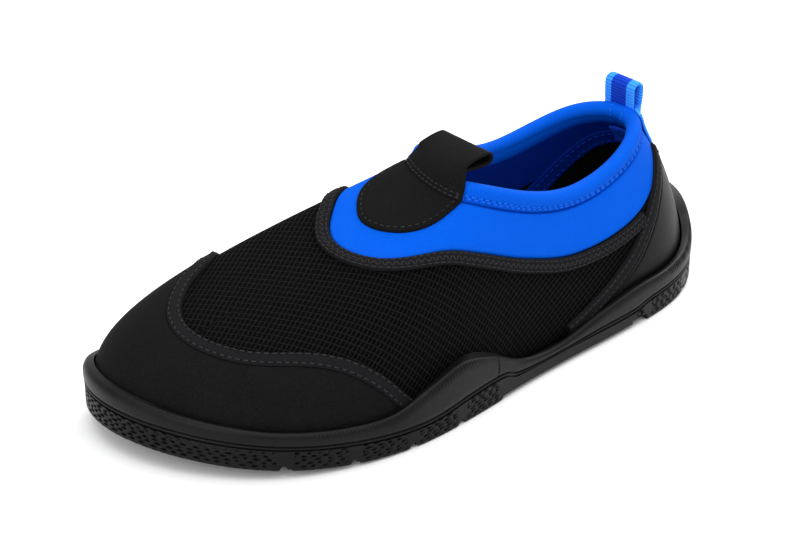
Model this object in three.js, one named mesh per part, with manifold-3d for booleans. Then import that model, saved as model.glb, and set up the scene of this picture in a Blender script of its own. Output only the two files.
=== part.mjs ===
// A low slip-on water shoe for the left foot: a moulded rubber outsole, a mesh vamp with a
// bound toe cap, a stretchy neoprene collar with a rolled rim, a tab over the throat and a
// webbing pull loop at the heel.
// Millimetres. +X points to the toe, +Y to the outer side of the foot, +Z up.
// The ground is z = 0 and the origin lies under the middle of the outsole.

import * as THREE from 'three';
import { mergeVertices } from 'three/addons/utils/BufferGeometryUtils.js';
import Module from 'manifold-3d';

// ---------------------------------------------------------------- driving dimensions

// Control points of the outsole's plan outline, from the back of the heel along the outer
// side to the toe and back along the inner side. A closed cubic B-spline runs inside them.
const SOLE_PLAN = [
  [-148, -4], [-138, 21], [-113, 40], [-70, 46], [-20, 50], [23, 58], [61, 62], [114, 47],
  [148, -6], [136, -47], [103, -49], [63, -47], [11, -37], [-46, -30], [-108, -38], [-144, -26],
];

// Control points of the middle of the collar's rolled rim, heel to throat, outer side.
// The inner side mirrors them.
const TOPLINE = [
  [-113, 0, 74], [-103, 17, 73], [-85, 25, 66], [-57, 27, 59], [-30, 27, 66],
  [-9, 25, 75.5], [-1.5, 19, 77], [-1, 10, 77.8], [-2.5, 1, 78.2], [-5, -7, 78.6],
  [-10, -14.5, 77.8], [-18, -21.5, 75], [-32, -26.5, 67.5], [-57, -27, 59], [-85, -25, 66],
  [-103, -17, 73],
];

// Height of the top of the sole's side wall above the ground, by distance along the shoe.
const WALL_HEIGHT = [
  [-146, 31], [-143, 29], [-137, 24], [-127, 19.5], [-108, 17.5], [-82, 17.5], [-58, 14.5],
  [-32, 10.2], [-11, 12.5], [8, 21.5], [25, 26], [42, 22.5], [60, 17], [80, 17], [105, 19.5],
  [125, 23.2], [138, 26.4], [144, 27.8],
];

// Style lines of the upper. The first number goes round the foot (0 at the back of the heel,
// 0.5 at the toe), the second goes up the upper (0 at the sole, 1 at the rim).
const COLLAR_EDGE = [
  [0, 0.75], [0.06, 0.72], [0.1, 0.65], [0.15, 0.59], [0.21, 0.58], [0.25, 0.64], [0.3, 0.72],
  [0.36, 0.78], [0.44, 0.78], [0.5, 0.8], [0.56, 0.84], [0.62, 0.84], [0.7, 0.74],
  [0.75, 0.64], [0.79, 0.58], [0.85, 0.59], [0.9, 0.65], [0.94, 0.72], [1, 0.75],
];
const TOE_CAP_EDGE = [
  [0.34, -0.06], [0.365, 0.12], [0.38, 0.23], [0.396, 0.31], [0.412, 0.36], [0.43, 0.38],
  [0.46, 0.36], [0.49, 0.375], [0.52, 0.42], [0.55, 0.48], [0.58, 0.52], [0.605, 0.5],
  [0.63, 0.44], [0.66, 0.28], [0.68, 0.12], [0.705, -0.06],
];
const HEEL_PANEL_EDGE = [
  [-0.25, -0.1], [-0.206, 0.08], [-0.165, 0.3], [-0.134, 0.47], [-0.1, 0.6], [-0.055, 0.7], [0, 0.73],
  [0.055, 0.7], [0.1, 0.6], [0.134, 0.47], [0.165, 0.3], [0.206, 0.08], [0.25, -0.1],
];
const PATCH_EDGE = [
  [0.345, 0.985], [0.359, 0.945], [0.375, 0.915], [0.39, 0.89], [0.41, 0.87], [0.44, 0.858],
  [0.49, 0.858], [0.53, 0.875], [0.56, 0.895], [0.581, 0.93], [0.594, 0.985],
];
const HEEL_LINING_EDGE = [
  [-0.22, -0.1], [-0.18, 0.18], [-0.145, 0.42], [-0.11, 0.58], [-0.065, 0.68], [0, 0.7],
  [0.065, 0.68], [0.11, 0.58], [0.145, 0.42], [0.18, 0.18], [0.22, -0.1],
];

const SEAM_GAP = 0.3; // left between pieces that touch

// Outsole and footbed, heights above the ground line
const TREAD_TOP = 6;
const CUP_BOTTOM = TREAD_TOP + SEAM_GAP;
const CUP_FLOOR = 7.7;
const FEATHER = 8; // the upper's lower edge
const FEATHER_INSET = 6; // from the outsole's outline
const BOARD = [8.2, 9.6];
const INSOLE = [10, 14];
const FOOTBED_INSET = 11.8;
const ARCH_RECESS = { from: -77, to: 3, depth: 1.5 };
const HEEL_NOTCH = { from: -87, to: -77, depth: 3 };
const FLEX_GROOVES = { at: [27, 52, 77, 102, -117], width: 3, depth: 2 };
const TOE_SPRING = { start: 35, length: 107, rise: 9 };
const HEEL_SPRING = { start: -100, length: 42, rise: 2.5 };

// Layers of the upper, as distances from its outer face: negative is towards the foot
const BASE = [-2.5, 0];
const LINING = [-4.2, -3.4];
const OVERLAY = [0.5, 1.7];
const TAPE = [0.5, 2.1];
const PATCH = [0.5, 2];
const WALL_CLEARANCE = 2.5; // from the outer face to the inside of the sole's wall

const TRIM_WIDTH = 5.5;
const TOE_TAPE_WIDTH = 5.5;
const COUNTER_TAPE_WIDTH = 5.5;
const INNER_TAPE_WIDTH = 8.5;

// Rolled rim: its section, as distances down from the topline and out from the upper
const RIM_RADIUS = 3.4;
const RIM_LEG = 6.2;
const RIM_CENTRE = -0.4;

// Tab over the throat, and the pull loop at the heel
const TAB = {
  from: -9.5, to: 19.5, root: 4.5, lift: 4.4, length: 17, thick: 1.3, mouth: 5.6, neck: 2.7, slope: 17,
};
const TAB_SPAN = [0.355, 0.58]; // the band under it, round the collar
const LOOP = {
  width: 17, middle: -3, back: -117.6, front: -109.2, root: 78, top: 87.8, neck: 2.9, thick: 1.4,
  span: 0.034,
};

const AROUND = 48; // columns round the shoe
const UP = 8; // rows from the sole to the rim

// ---------------------------------------------------------------- curves

/** Smooth curve through knots [position, value], by cubic Hermite pieces. */
function through(knots) {
  const slope = (i) => {
    const a = knots[Math.max(i - 1, 0)];
    const b = knots[Math.min(i + 1, knots.length - 1)];
    return (b[1] - a[1]) / (b[0] - a[0]);
  };
  return (x) => {
    const at = Math.min(Math.max(x, knots[0][0]), knots.at(-1)[0]);
    let i = 0;
    while (i < knots.length - 2 && at > knots[i + 1][0]) i += 1;
    const [x0, y0] = knots[i];
    const [x1, y1] = knots[i + 1];
    const h = x1 - x0;
    const t = (at - x0) / h;
    const rest = 1 - t;
    return y0 * (1 + 2 * t) * rest * rest + y1 * (3 - 2 * t) * t * t
      + h * t * rest * (rest * slope(i) - t * slope(i + 1));
  };
}

/** Point of a closed uniform cubic B-spline over rows of numbers. */
function spline(points, u) {
  const at = (((u % 1) + 1) % 1) * points.length;
  const first = Math.floor(at);
  const t = at - first;
  const weights = [
    (1 - t) ** 3, 3 * t ** 3 - 6 * t ** 2 + 4, -3 * t ** 3 + 3 * t ** 2 + 3 * t + 1, t ** 3,
  ];
  return points[0].map((_, axis) => weights.reduce((sum, weight, k) => {
    const row = points[(first + k - 1 + points.length) % points.length];
    return sum + (weight * row[axis]) / 6;
  }, 0));
}


const wallHeight = through(WALL_HEIGHT);
const collarEdge = through(COLLAR_EDGE);
const toeCapEdge = through(TOE_CAP_EDGE);
const patchEdge = through(PATCH_EDGE);
const nearHeel = (u) => (u > 0.5 ? u - 1 : u);
const heelPanelCurve = through(HEEL_PANEL_EDGE);
const heelPanelEdge = (u) => heelPanelCurve(nearHeel(u));
const heelLiningCurve = through(HEEL_LINING_EDGE);
const heelLiningEdge = (u) => heelLiningCurve(nearHeel(u));

/** Rise of the ground side of the sole above the ground at a place along the shoe. */
function spring(x) {
  const toe = Math.max((x - TOE_SPRING.start) / TOE_SPRING.length, 0);
  const heel = Math.max((HEEL_SPRING.start - x) / HEEL_SPRING.length, 0);
  return TOE_SPRING.rise * toe ** 2 + HEEL_SPRING.rise * heel ** 2;
}

/** Outsole outline moved inwards by inset, as a point at height z above the ground line. */
function outline(u, inset, height) {
  const [x, y] = spline(SOLE_PLAN, u);
  const [ax, ay] = spline(SOLE_PLAN, u - 1e-4);
  const [bx, by] = spline(SOLE_PLAN, u + 1e-4);
  const out = new THREE.Vector2(ay - by, bx - ax).normalize();
  const px = x - out.x * inset;
  return new THREE.Vector3(px, y - out.y * inset, spring(x) + height);
}

// ---------------------------------------------------------------- the upper's surface

/** The four Bezier points of the upper's section at u: fuller at the toe, leaning at the heel. */
function section(u) {
  const forward = Math.sin(Math.PI * u) ** 2;
  const backward = Math.cos(Math.PI * u) ** 2;
  const sole = outline(u, FEATHER_INSET, FEATHER);
  const edge = outline(u, 0, FEATHER);
  const out = edge.clone().sub(sole).normalize();
  const top = new THREE.Vector3(...spline(TOPLINE, u));
  const low = sole.clone().addScaledVector(out, 5 * forward ** 6);
  low.z += 18 + 16 * forward ** 6;
  const high = top.clone().lerp(sole, 0.3 + 0.29 * forward ** 2);
  high.addScaledVector(out, 5 * backward ** 3);
  high.z = top.z - 19 - 20 * forward ** 4 + 7 * backward ** 8;
  const instep = 10 * Math.exp(-(((u - 0.585) / 0.06) ** 2));
  high.y -= instep;
  high.z += instep;
  return [sole, low, high, top];
}

const sections = new Map();
function sectionAt(u) {
  const key = Math.round((((u % 1) + 1) % 1) * 1e7);
  if (!sections.has(key)) sections.set(key, section(u));
  return sections.get(key);
}

/** Outer face of the upper's base layer. */
function skin(u, b) {
  const [p0, p1, p2, p3] = sectionAt(u);
  const c = 1 - b;
  return new THREE.Vector3()
    .addScaledVector(p0, c ** 3)
    .addScaledVector(p1, 3 * b * c ** 2)
    .addScaledVector(p2, 3 * b ** 2 * c)
    .addScaledVector(p3, b ** 3);
}

/** Millimetres of the upper's section per unit of b. */
function stretch(u, b) {
  return skin(u, b + 0.001).distanceTo(skin(u, b - 0.001)) / 0.002;
}

/** The b that lies some millimetres up the section from another. */
function up(u, b, millimetres) {
  const guess = b + millimetres / stretch(u, b);
  const reached = Math.abs(skin(u, guess).distanceTo(skin(u, b)));
  return reached > 0 ? b + ((guess - b) * Math.abs(millimetres)) / reached : b;
}

/** Outward normal of the upper. */
function normal(u, b) {
  const along = skin(u + 1e-4, b).sub(skin(u - 1e-4, b));
  const upward = skin(u, b + 1e-4).sub(skin(u, b - 1e-4));
  return upward.cross(along).normalize();
}

/** Point at a distance out from the upper's outer face. */
const place = (u, b, offset) => skin(u, b).addScaledVector(normal(u, b), offset);

/** Point placed from the topline: so far below it along the section, so far out. */
function fromTop(u, below, offset) {
  if (below > 0) return place(u, up(u, 1, -below), offset);
  const upward = skin(u, 1).sub(skin(u, 0.999)).normalize();
  return place(u, 1, offset).addScaledVector(upward, -below);
}

// ---------------------------------------------------------------- solids

/** Closed geometry from numbered points and triangles. */
function solid(points, triangles) {
  const geometry = new THREE.BufferGeometry();
  geometry.setAttribute('position', new THREE.Float32BufferAttribute(points.flatMap((p) => p.toArray()), 3));
  geometry.setIndex(triangles.flat());
  geometry.computeVertexNormals();
  return geometry;
}

/** Sweeps closed loops of points, one per column, into a ring or into a bar with flat ends. */
function sweep(loops, closed) {
  const size = loops[0].length;
  const triangles = [];
  const columns = closed ? loops.length : loops.length - 1;
  for (let i = 0; i < columns; i += 1) {
    const here = i * size;
    const next = ((i + 1) % loops.length) * size;
    for (let j = 0; j < size; j += 1) {
      const k = (j + 1) % size;
      triangles.push([here + j, here + k, next + j], [next + j, here + k, next + k]);
    }
  }
  if (!closed) {
    const last = (loops.length - 1) * size;
    const rows = size / 2;
    for (let j = 0; j < rows - 1; j += 1) {
      const across = size - 1 - j;
      triangles.push([j, across, j + 1], [j + 1, across, across - 1]);
      triangles.push([last + j, last + j + 1, last + across]);
      triangles.push([last + j + 1, last + across - 1, last + across]);
    }
  }
  return solid(loops.flat(), triangles);
}

/** Columns round the shoe between two places, on the common lattice. */
function lattice(from, to) {
  const first = Math.ceil(from * AROUND);
  const last = Math.floor(to * AROUND);
  return Array.from({ length: last - first + 1 }, (_, i) => (first + i) / AROUND);
}
const ALL_ROUND = lattice(0, 1 - 1 / AROUND);

/** A panel of the upper: between two edges, on one layer, over the columns where it is wide. */
function panel({ from, to, low, high, layer, rows = UP, least = 0.03 }) {
  const closed = from === undefined;
  const wide = (u) => high(u) - low(u) >= least;
  const columns = closed ? ALL_ROUND : lattice(from, to).filter(wide);
  const heights = Array.from({ length: rows + 1 }, (_, j) => j / rows);
  const loops = columns.map((u) => {
    const b = (t) => low(u) + (high(u) - low(u)) * t;
    const outside = heights.map((t) => place(u, b(t), layer[1]));
    const inside = heights.map((t) => place(u, b(t), layer[0]));
    return [...outside, ...inside.reverse()];
  });
  return sweep(loops, closed);
}

/** A strip given by rows of [distance below the topline, inner offset, outer offset]. */
function strap(columns, rows) {
  const loops = columns.map((u) => [
    ...rows.map(([below, , outer]) => fromTop(u, below, outer)),
    ...rows.map(([below, inner]) => fromTop(u, below, inner)).reverse(),
  ]);
  return sweep(loops, false);
}

/** A solid closed round the middle of the sole by rings, from its underside to its top. */
function spun(rings) {
  const points = [rings[0].centre, ...rings[0].loop];
  const triangles = [];
  const next = (i) => (i + 1) % AROUND;
  for (let i = 0; i < AROUND; i += 1) triangles.push([0, 1 + i, 1 + next(i)]);
  for (let k = 1; k < rings.length; k += 1) {
    const below = 1 + (k - 1) * AROUND;
    const above = below + AROUND;
    points.push(...rings[k].loop);
    for (let i = 0; i < AROUND; i += 1) {
      triangles.push([below + i, above + i, below + next(i)]);
      triangles.push([below + next(i), above + i, above + next(i)]);
    }
  }
  const top = points.length;
  points.push(rings.at(-1).centre);
  for (let i = 0; i < AROUND; i += 1) triangles.push([top, top - AROUND + next(i), top - AROUND + i]);
  return solid(points, triangles);
}

const MIDDLE = new THREE.Vector2(0, 5);
const SPOKES = [0.4, 0.7, 0.88];

/** Rings of a face of a sole layer, from its middle out to an edge. */
function face(edge, height) {
  const centre = new THREE.Vector3(MIDDLE.x, MIDDLE.y, height);
  const inner = SPOKES.map((share) => ({
    centre,
    loop: ALL_ROUND.map((u) => {
      const point = new THREE.Vector3(MIDDLE.x, MIDDLE.y, 0).lerp(edge(u), share);
      point.z = spring(point.x) + height;
      return point;
    }),
  }));
  return [...inner, { centre, loop: ALL_ROUND.map(edge) }];
}

/** A flexible plate that follows the sole's curve between two heights. */
function plate(inset, [bottom, top]) {
  return spun([
    ...face((u) => outline(u, inset, bottom), bottom),
    ...face((u) => outline(u, inset, top), top).reverse(),
  ]);
}

// ---------------------------------------------------------------- outsole

const wasm = await Module();
wasm.setup();

/** Turns a closed geometry into a manifold solid. */
function toManifold(geometry) {
  const bare = geometry.clone();
  bare.deleteAttribute('normal');
  bare.deleteAttribute('uv');
  const merged = mergeVertices(bare, 1e-4);
  return new wasm.Manifold(new wasm.Mesh({
    numProp: 3,
    vertProperties: new Float32Array(merged.attributes.position.array),
    triVerts: new Uint32Array(merged.index.array),
  }));
}

/** Turns a manifold solid back into a geometry. */
function fromManifold(manifold) {
  const mesh = manifold.getMesh();
  const geometry = new THREE.BufferGeometry();
  geometry.setAttribute('position', new THREE.Float32BufferAttribute(mesh.vertProperties, 3));
  geometry.setIndex(Array.from(mesh.triVerts));
  geometry.computeVertexNormals();
  return geometry;
}

/** Block across the whole underside, from one place along the shoe to another. */
function crossBlock(from, to, height) {
  const block = new THREE.BoxGeometry(to - from, 160, height + 20);
  block.translate((from + to) / 2, 0, height / 2 - 10);
  return toManifold(block);
}

/** Ground layer: flat pods under forefoot and heel, with the arch set back between them. */
function outsoleTread() {
  const slab = spun([
    ...face((u) => outline(u, 1.2, 0), 0),
    { loop: ALL_ROUND.map((u) => outline(u, 0.4, 2.5)) },
    ...face((u) => outline(u, 0.6, TREAD_TOP), TREAD_TOP).reverse(),
  ]);
  const cuts = [ARCH_RECESS, HEEL_NOTCH].map(({ from, to, depth }) => crossBlock(from, to, depth));
  for (const x of FLEX_GROOVES.at) {
    const half = FLEX_GROOVES.width / 2;
    cuts.push(crossBlock(x - half, x + half, spring(x) + FLEX_GROOVES.depth));
  }
  return fromManifold(cuts.reduce((rest, cut) => rest.subtract(cut), toManifold(slab)));
}

/** The b where the upper passes a height above the ground. */
function heightToB(u, z) {
  let low = 0;
  let high = 0.6;
  for (let i = 0; i < 24; i += 1) {
    const middle = (low + high) / 2;
    if (skin(u, middle).z < z) low = middle;
    else high = middle;
  }
  return low;
}

/** Side wall with its rounded rim, in one with a thin floor under the upper. */
function soleCup() {
  const wall = (share, inset) => ({
    loop: ALL_ROUND.map((u) => {
      const point = outline(u, inset, CUP_BOTTOM);
      point.z += (wallHeight(point.x) - point.z) * share;
      return point;
    }),
  });
  const inside = (share) => ({
    loop: ALL_ROUND.map((u) => {
      const top = wallHeight(outline(u, 0, 0).x) - 0.8;
      return place(u, heightToB(u, top) * share, WALL_CLEARANCE);
    }),
  });
  return spun([
    ...face((u) => outline(u, 0.6, CUP_BOTTOM), CUP_BOTTOM),
    wall(0.3, 0.2), wall(0.62, 0.5), wall(0.8, 0), wall(0.93, 0.6), wall(1, 1.8),
    inside(1), inside(0.5), inside(0.02),
    ...face((u) => {
      const foot = place(u, 0, WALL_CLEARANCE);
      foot.z = spring(foot.x) + CUP_FLOOR;
      return foot;
    }, CUP_FLOOR).reverse(),
  ]);
}

// ---------------------------------------------------------------- upper

const zero = () => 0;
const rimEdge = (u) => up(u, 1, -RIM_LEG - SEAM_GAP);
const above = (edge, gap) => (u) => up(u, Math.max(edge(u), 0), gap);

const toeTapeTop = (u) => (toeCapEdge(u) > 0 ? up(u, toeCapEdge(u), TOE_TAPE_WIDTH) : toeCapEdge(u));
const counterTapeTop = (u) => (heelPanelEdge(u) > 0 ? up(u, heelPanelEdge(u), COUNTER_TAPE_WIDTH) : 0);
const vampLow = (u) => {
  const edge = Math.max(toeCapEdge(u), heelPanelEdge(u));
  return edge > 0.02 ? up(u, edge, SEAM_GAP) : 0;
};
const trimLow = (u) => Math.max(up(u, collarEdge(u), -TRIM_WIDTH), up(u, counterTapeTop(u), SEAM_GAP));
const innerTapeTop = (u) => (heelLiningEdge(u) > 0 ? up(u, heelLiningEdge(u), INNER_TAPE_WIDTH) : 0);

const aboveInnerTape = (u) => (innerTapeTop(u) > 0 ? up(u, innerTapeTop(u), SEAM_GAP) : 0);
const patchTop = (u) => up(u, 1, -RIM_LEG - 0.9);

const heelRange = { from: -0.25, to: 0.25 };

/** Rolled rim: a flat leg on each side and a round roll on top. */
function collarRim() {
  const roll = Array.from({ length: 7 }, (_, i) => {
    const angle = (Math.PI * i) / 6;
    return [-RIM_RADIUS * Math.sin(angle), RIM_CENTRE + RIM_RADIUS * Math.cos(angle)];
  });
  const outline2d = [
    [RIM_LEG, 0.6], [RIM_LEG - 2.4, 1], [1.8, 2.2], ...roll, [1.8, -4.2], [RIM_LEG - 2.4, -4.1], [RIM_LEG, -3.6],
  ];
  const loops = ALL_ROUND.map((u) => outline2d.map(([below, offset]) => fromTop(u, below, offset)));
  return sweep(loops, true);
}

/** Extrudes a shape drawn in the XZ plane along Y. */
function alongY(shape, from, to) {
  const geometry = new THREE.ExtrudeGeometry(shape, { depth: to - from, bevelEnabled: false, curveSegments: 8 });
  geometry.rotateX(Math.PI / 2);
  geometry.translate(0, to, 0);
  return geometry;
}

/** A folded strap seen from its side: a neck, straight legs and a round bow, open inside. */
function bow({ neck, width, length, thick }) {
  const outer = width / 2;
  const middle = length - outer;
  const shape = new THREE.Shape();
  shape.moveTo(-neck / 2, 0);
  shape.lineTo(neck / 2, 0);
  shape.quadraticCurveTo(outer, middle * 0.45, outer, middle);
  shape.absarc(0, middle, outer, 0, Math.PI, false);
  shape.quadraticCurveTo(-outer, middle * 0.45, -neck / 2, 0);
  const inner = outer - thick;
  const hole = new THREE.Path();
  hole.moveTo(0, neck * 0.6);
  hole.quadraticCurveTo(-inner, middle * 0.4, -inner, middle);
  hole.absarc(0, middle, inner, Math.PI, 0, true);
  hole.quadraticCurveTo(inner, middle * 0.4, 0, neck * 0.6);
  shape.holes.push(hole);
  return shape;
}

/** The tab over the throat: a folded strap that carries on the line of the instep. */
function frontTab() {
  const root = fromTop(0.5, -TAB.root, TAB.lift);
  const profile = bow({ neck: TAB.neck, width: TAB.mouth, length: TAB.length, thick: TAB.thick });
  const tab = alongY(profile, TAB.from, TAB.to);
  tab.rotateY(-THREE.MathUtils.degToRad(90 - TAB.slope));
  tab.translate(root.x, 0, root.z);
  return tab;
}

/** The webbing pull loop above the heel. */
function heelLoop() {
  const loop = alongY(bow({
    neck: LOOP.neck, width: LOOP.front - LOOP.back, length: LOOP.top - LOOP.root, thick: LOOP.thick,
  }), LOOP.middle - LOOP.width / 2, LOOP.middle + LOOP.width / 2);
  loop.translate((LOOP.front + LOOP.back) / 2, 0, LOOP.root);
  return loop;
}

// ---------------------------------------------------------------- materials

const finish = (color, roughness) => new THREE.MeshStandardMaterial({ color, roughness, metalness: 0 });
const rubber = finish(0x2b2b2c, 0.55);
const mesh = finish(0x141415, 0.85);
const synthetic = finish(0x1d1d1e, 0.75);
const tape = finish(0x29292a, 0.8);
const neoprene = finish(0x0062eb, 0.7);
const webbing = finish(0x0a55d8, 0.75);
const blackLining = finish(0x0b0b0c, 0.9);
const foam = finish(0x202123, 0.85);
const board = finish(0x6b6459, 0.9);

// ---------------------------------------------------------------- assembly

const shoe = new THREE.Group();

/** Adds one named piece to the shoe. */
function add(name, geometry, material) {
  const piece = new THREE.Mesh(geometry, material);
  piece.name = name;
  shoe.add(piece);
  return piece;
}

add('outsole_tread', outsoleTread(), rubber);
add('sole_cup', soleCup(), rubber);
add('lasting_board', plate(FOOTBED_INSET, BOARD), board);
add('insole', plate(FOOTBED_INSET, INSOLE), foam);

const toeRange = { from: 0.34, to: 0.71 };
add('toe_puff', panel({ ...toeRange, low: zero, high: toeCapEdge, layer: BASE, rows: 6 }), board);
add('toe_cap', panel({ ...toeRange, low: zero, high: toeCapEdge, layer: OVERLAY, rows: 6 }), synthetic);
add('toe_binding', panel({
  ...toeRange, low: above(toeCapEdge, SEAM_GAP), high: toeTapeTop, layer: TAPE, rows: 2, least: 0.02,
}), tape);

add('heel_counter', panel({ ...heelRange, low: zero, high: heelPanelEdge, layer: BASE, rows: 5 }), board);
add('heel_panel', panel({ ...heelRange, low: zero, high: heelPanelEdge, layer: OVERLAY, rows: 5 }), synthetic);
const counterTape = { low: above(heelPanelEdge, SEAM_GAP), high: counterTapeTop, layer: TAPE, rows: 1 };
add('counter_binding_outer', panel({ ...counterTape, from: 0.05, to: 0.22 }), tape);
add('counter_binding_inner', panel({ ...counterTape, from: -0.22, to: -0.05 }), tape);

add('mesh_vamp', panel({
  from: 0.06, to: 0.94, low: vampLow, high: (u) => up(u, collarEdge(u), -SEAM_GAP), layer: BASE,
}), mesh);
add('collar_trim', panel({
  from: 0.06, to: 0.94, low: trimLow, high: collarEdge, layer: OVERLAY, rows: 1, least: 0.015,
}), tape);
add('neoprene_collar', panel({ low: collarEdge, high: rimEdge, layer: BASE, rows: 4 }), neoprene);
add('collar_rim', collarRim(), neoprene);

add('heel_lining', panel({ ...heelRange, low: zero, high: heelLiningEdge, layer: LINING, rows: 5 }), blackLining);
add('lining_binding', panel({
  ...heelRange, low: above(heelLiningEdge, SEAM_GAP), high: innerTapeTop, layer: LINING, rows: 1,
}), neoprene);
add('vamp_lining', panel({
  from: 0.15, to: 0.85, low: aboveInnerTape, high: (u) => up(u, collarEdge(u), -SEAM_GAP), layer: LINING,
}), blackLining);
add('collar_lining', panel({
  low: (u) => Math.max(collarEdge(u), aboveInnerTape(u)), high: rimEdge, layer: LINING, rows: 4,
}), neoprene);

add('tongue_patch', panel({
  from: 0.34, to: 0.6, low: patchEdge, high: patchTop, layer: PATCH, rows: 3, least: 0.012,
}), synthetic);
add('tab_band', strap(lattice(...TAB_SPAN), [
  [RIM_LEG + 0.6, 0.9, 2.2], [3.6, 1.3, 2.8], [1.6, 2.6, 4.2], [-0.8, 3.4, 5.3],
]), synthetic);
add('front_tab', frontTab(), synthetic);

add('heel_loop', heelLoop(), webbing);
const loopColumns = lattice(-LOOP.span, LOOP.span);
add('heel_loop_outer_tail', strap(loopColumns, [
  [17, 0.3, 1.7], [RIM_LEG + 1, 0.9, 2.7], [4, 1.3, 3.5], [2.6, 2.1, 4.4], [1.8, 2.6, 4.9],
]), webbing);
add('heel_loop_inner_tail', strap(loopColumns, [[18, -5.8, -4.5], [RIM_LEG + 1, -5.8, -4.5]]), webbing);

const solePlan = ALL_ROUND.map((u) => outline(u, 0, 0));
const plan = new THREE.Box3().setFromPoints(solePlan).getCenter(new THREE.Vector3());
shoe.position.set(-plan.x, -plan.y, 0);

export default shoe;
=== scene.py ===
"""Low neoprene water shoe for the left foot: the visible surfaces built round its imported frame.

Lengths in this file are millimetres in the frame's axes (+X to the toe, +Y to the outer side,
+Z up) until a mesh is made, when they become metres.
"""

from __future__ import annotations

import logging
import math
from collections.abc import Callable, Sequence
from dataclasses import dataclass, field
from enum import Enum

import bpy
import numpy as np
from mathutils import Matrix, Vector


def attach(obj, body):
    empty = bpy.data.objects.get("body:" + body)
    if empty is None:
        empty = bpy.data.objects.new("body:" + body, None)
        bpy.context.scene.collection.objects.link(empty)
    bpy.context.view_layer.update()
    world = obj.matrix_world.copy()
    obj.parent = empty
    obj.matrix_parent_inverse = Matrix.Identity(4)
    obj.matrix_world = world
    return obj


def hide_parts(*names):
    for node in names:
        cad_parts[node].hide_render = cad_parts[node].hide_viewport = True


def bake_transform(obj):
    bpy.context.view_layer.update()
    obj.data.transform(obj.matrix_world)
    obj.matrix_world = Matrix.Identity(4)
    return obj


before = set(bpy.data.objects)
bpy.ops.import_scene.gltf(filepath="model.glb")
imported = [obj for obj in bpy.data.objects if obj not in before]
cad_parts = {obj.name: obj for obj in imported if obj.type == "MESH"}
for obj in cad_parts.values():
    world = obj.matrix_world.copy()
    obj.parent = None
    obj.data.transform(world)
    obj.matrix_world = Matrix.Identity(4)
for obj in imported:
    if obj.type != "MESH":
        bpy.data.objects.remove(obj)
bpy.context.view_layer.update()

Array = np.ndarray
LOG = logging.getLogger("water_shoe")
MM = 0.001
UV_NAME = "cloth"


class Body(Enum):
    """The bodies of the frame that pieces ride on."""

    SHOE = "shoe"
    LOOP = "pull_loop"
    TAB = "throat_tab"


class Slot(Enum):
    """The record's material slots."""

    RUBBER = "outsole_rubber"
    MESH = "vamp_mesh"
    SYNTHETIC = "black_synthetic"
    TAPE = "binding_tape"
    NEOPRENE = "blue_neoprene"
    WEBBING = "blue_webbing"
    LINING = "black_lining"
    FOAM = "footbed_foam"
    BOARD = "stiffener_board"


# ---------------------------------------------------------------- curves and the upper's surface


class Curve:
    """Smooth curve through knots, by cubic Hermite pieces with central slopes."""

    def __init__(self, knots: Sequence[tuple[float, float]]) -> None:
        """Keeps the knots and works out a slope at each.

        Args:
            knots: positions and values, in order of position.
        """
        self.x, self.y = np.array(knots, float).T
        before = np.maximum(np.arange(len(self.x)) - 1, 0)
        after = np.minimum(np.arange(len(self.x)) + 1, len(self.x) - 1)
        self.slope = (self.y[after] - self.y[before]) / (self.x[after] - self.x[before])

    def __call__(self, position: Array | float) -> Array:
        """Value of the curve, held level beyond its ends.

        Args:
            position: where to read it.

        Returns:
            The values, in the shape of the positions.
        """
        at = np.clip(position, self.x[0], self.x[-1])
        i = np.clip(np.searchsorted(self.x, at, side="left") - 1, 0, len(self.x) - 2)
        h = self.x[i + 1] - self.x[i]
        t = (at - self.x[i]) / h
        rest = 1 - t
        ends = self.y[i] * (1 + 2 * t) * rest**2 + self.y[i + 1] * (3 - 2 * t) * t**2
        return ends + h * t * rest * (rest * self.slope[i] - t * self.slope[i + 1])


def closed_spline(points: Sequence[Sequence[float]], u: Array) -> Array:
    """Closed uniform cubic B-spline: four control points weighted by the B-spline basis.

    Args:
        points: control points.
        u: places round it, 1 being once round.

    Returns:
        Points, one for each place.
    """
    control = np.array(points, float)
    at = np.mod(u, 1.0) * len(control)
    first = np.floor(at).astype(int)
    t = at - first
    weights = np.stack(
        [(1 - t) ** 3, 3 * t**3 - 6 * t**2 + 4, -3 * t**3 + 3 * t**2 + 3 * t + 1, t**3], -1
    )
    rows = control[(first[..., None] + np.arange(-1, 3)) % len(control)]
    return np.einsum("...k,...kd->...d", weights / 6, rows)


def unit(vectors: Array) -> Array:
    """Vectors scaled to length 1."""
    return vectors / np.maximum(np.linalg.norm(vectors, axis=-1, keepdims=True), 1e-9)


def smooth_step(low: float, high: float, value: Array) -> Array:
    """0 below low, 1 above high, an S curve between."""
    t = np.clip((value - low) / (high - low), 0, 1)
    return t * t * (3 - 2 * t)


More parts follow.
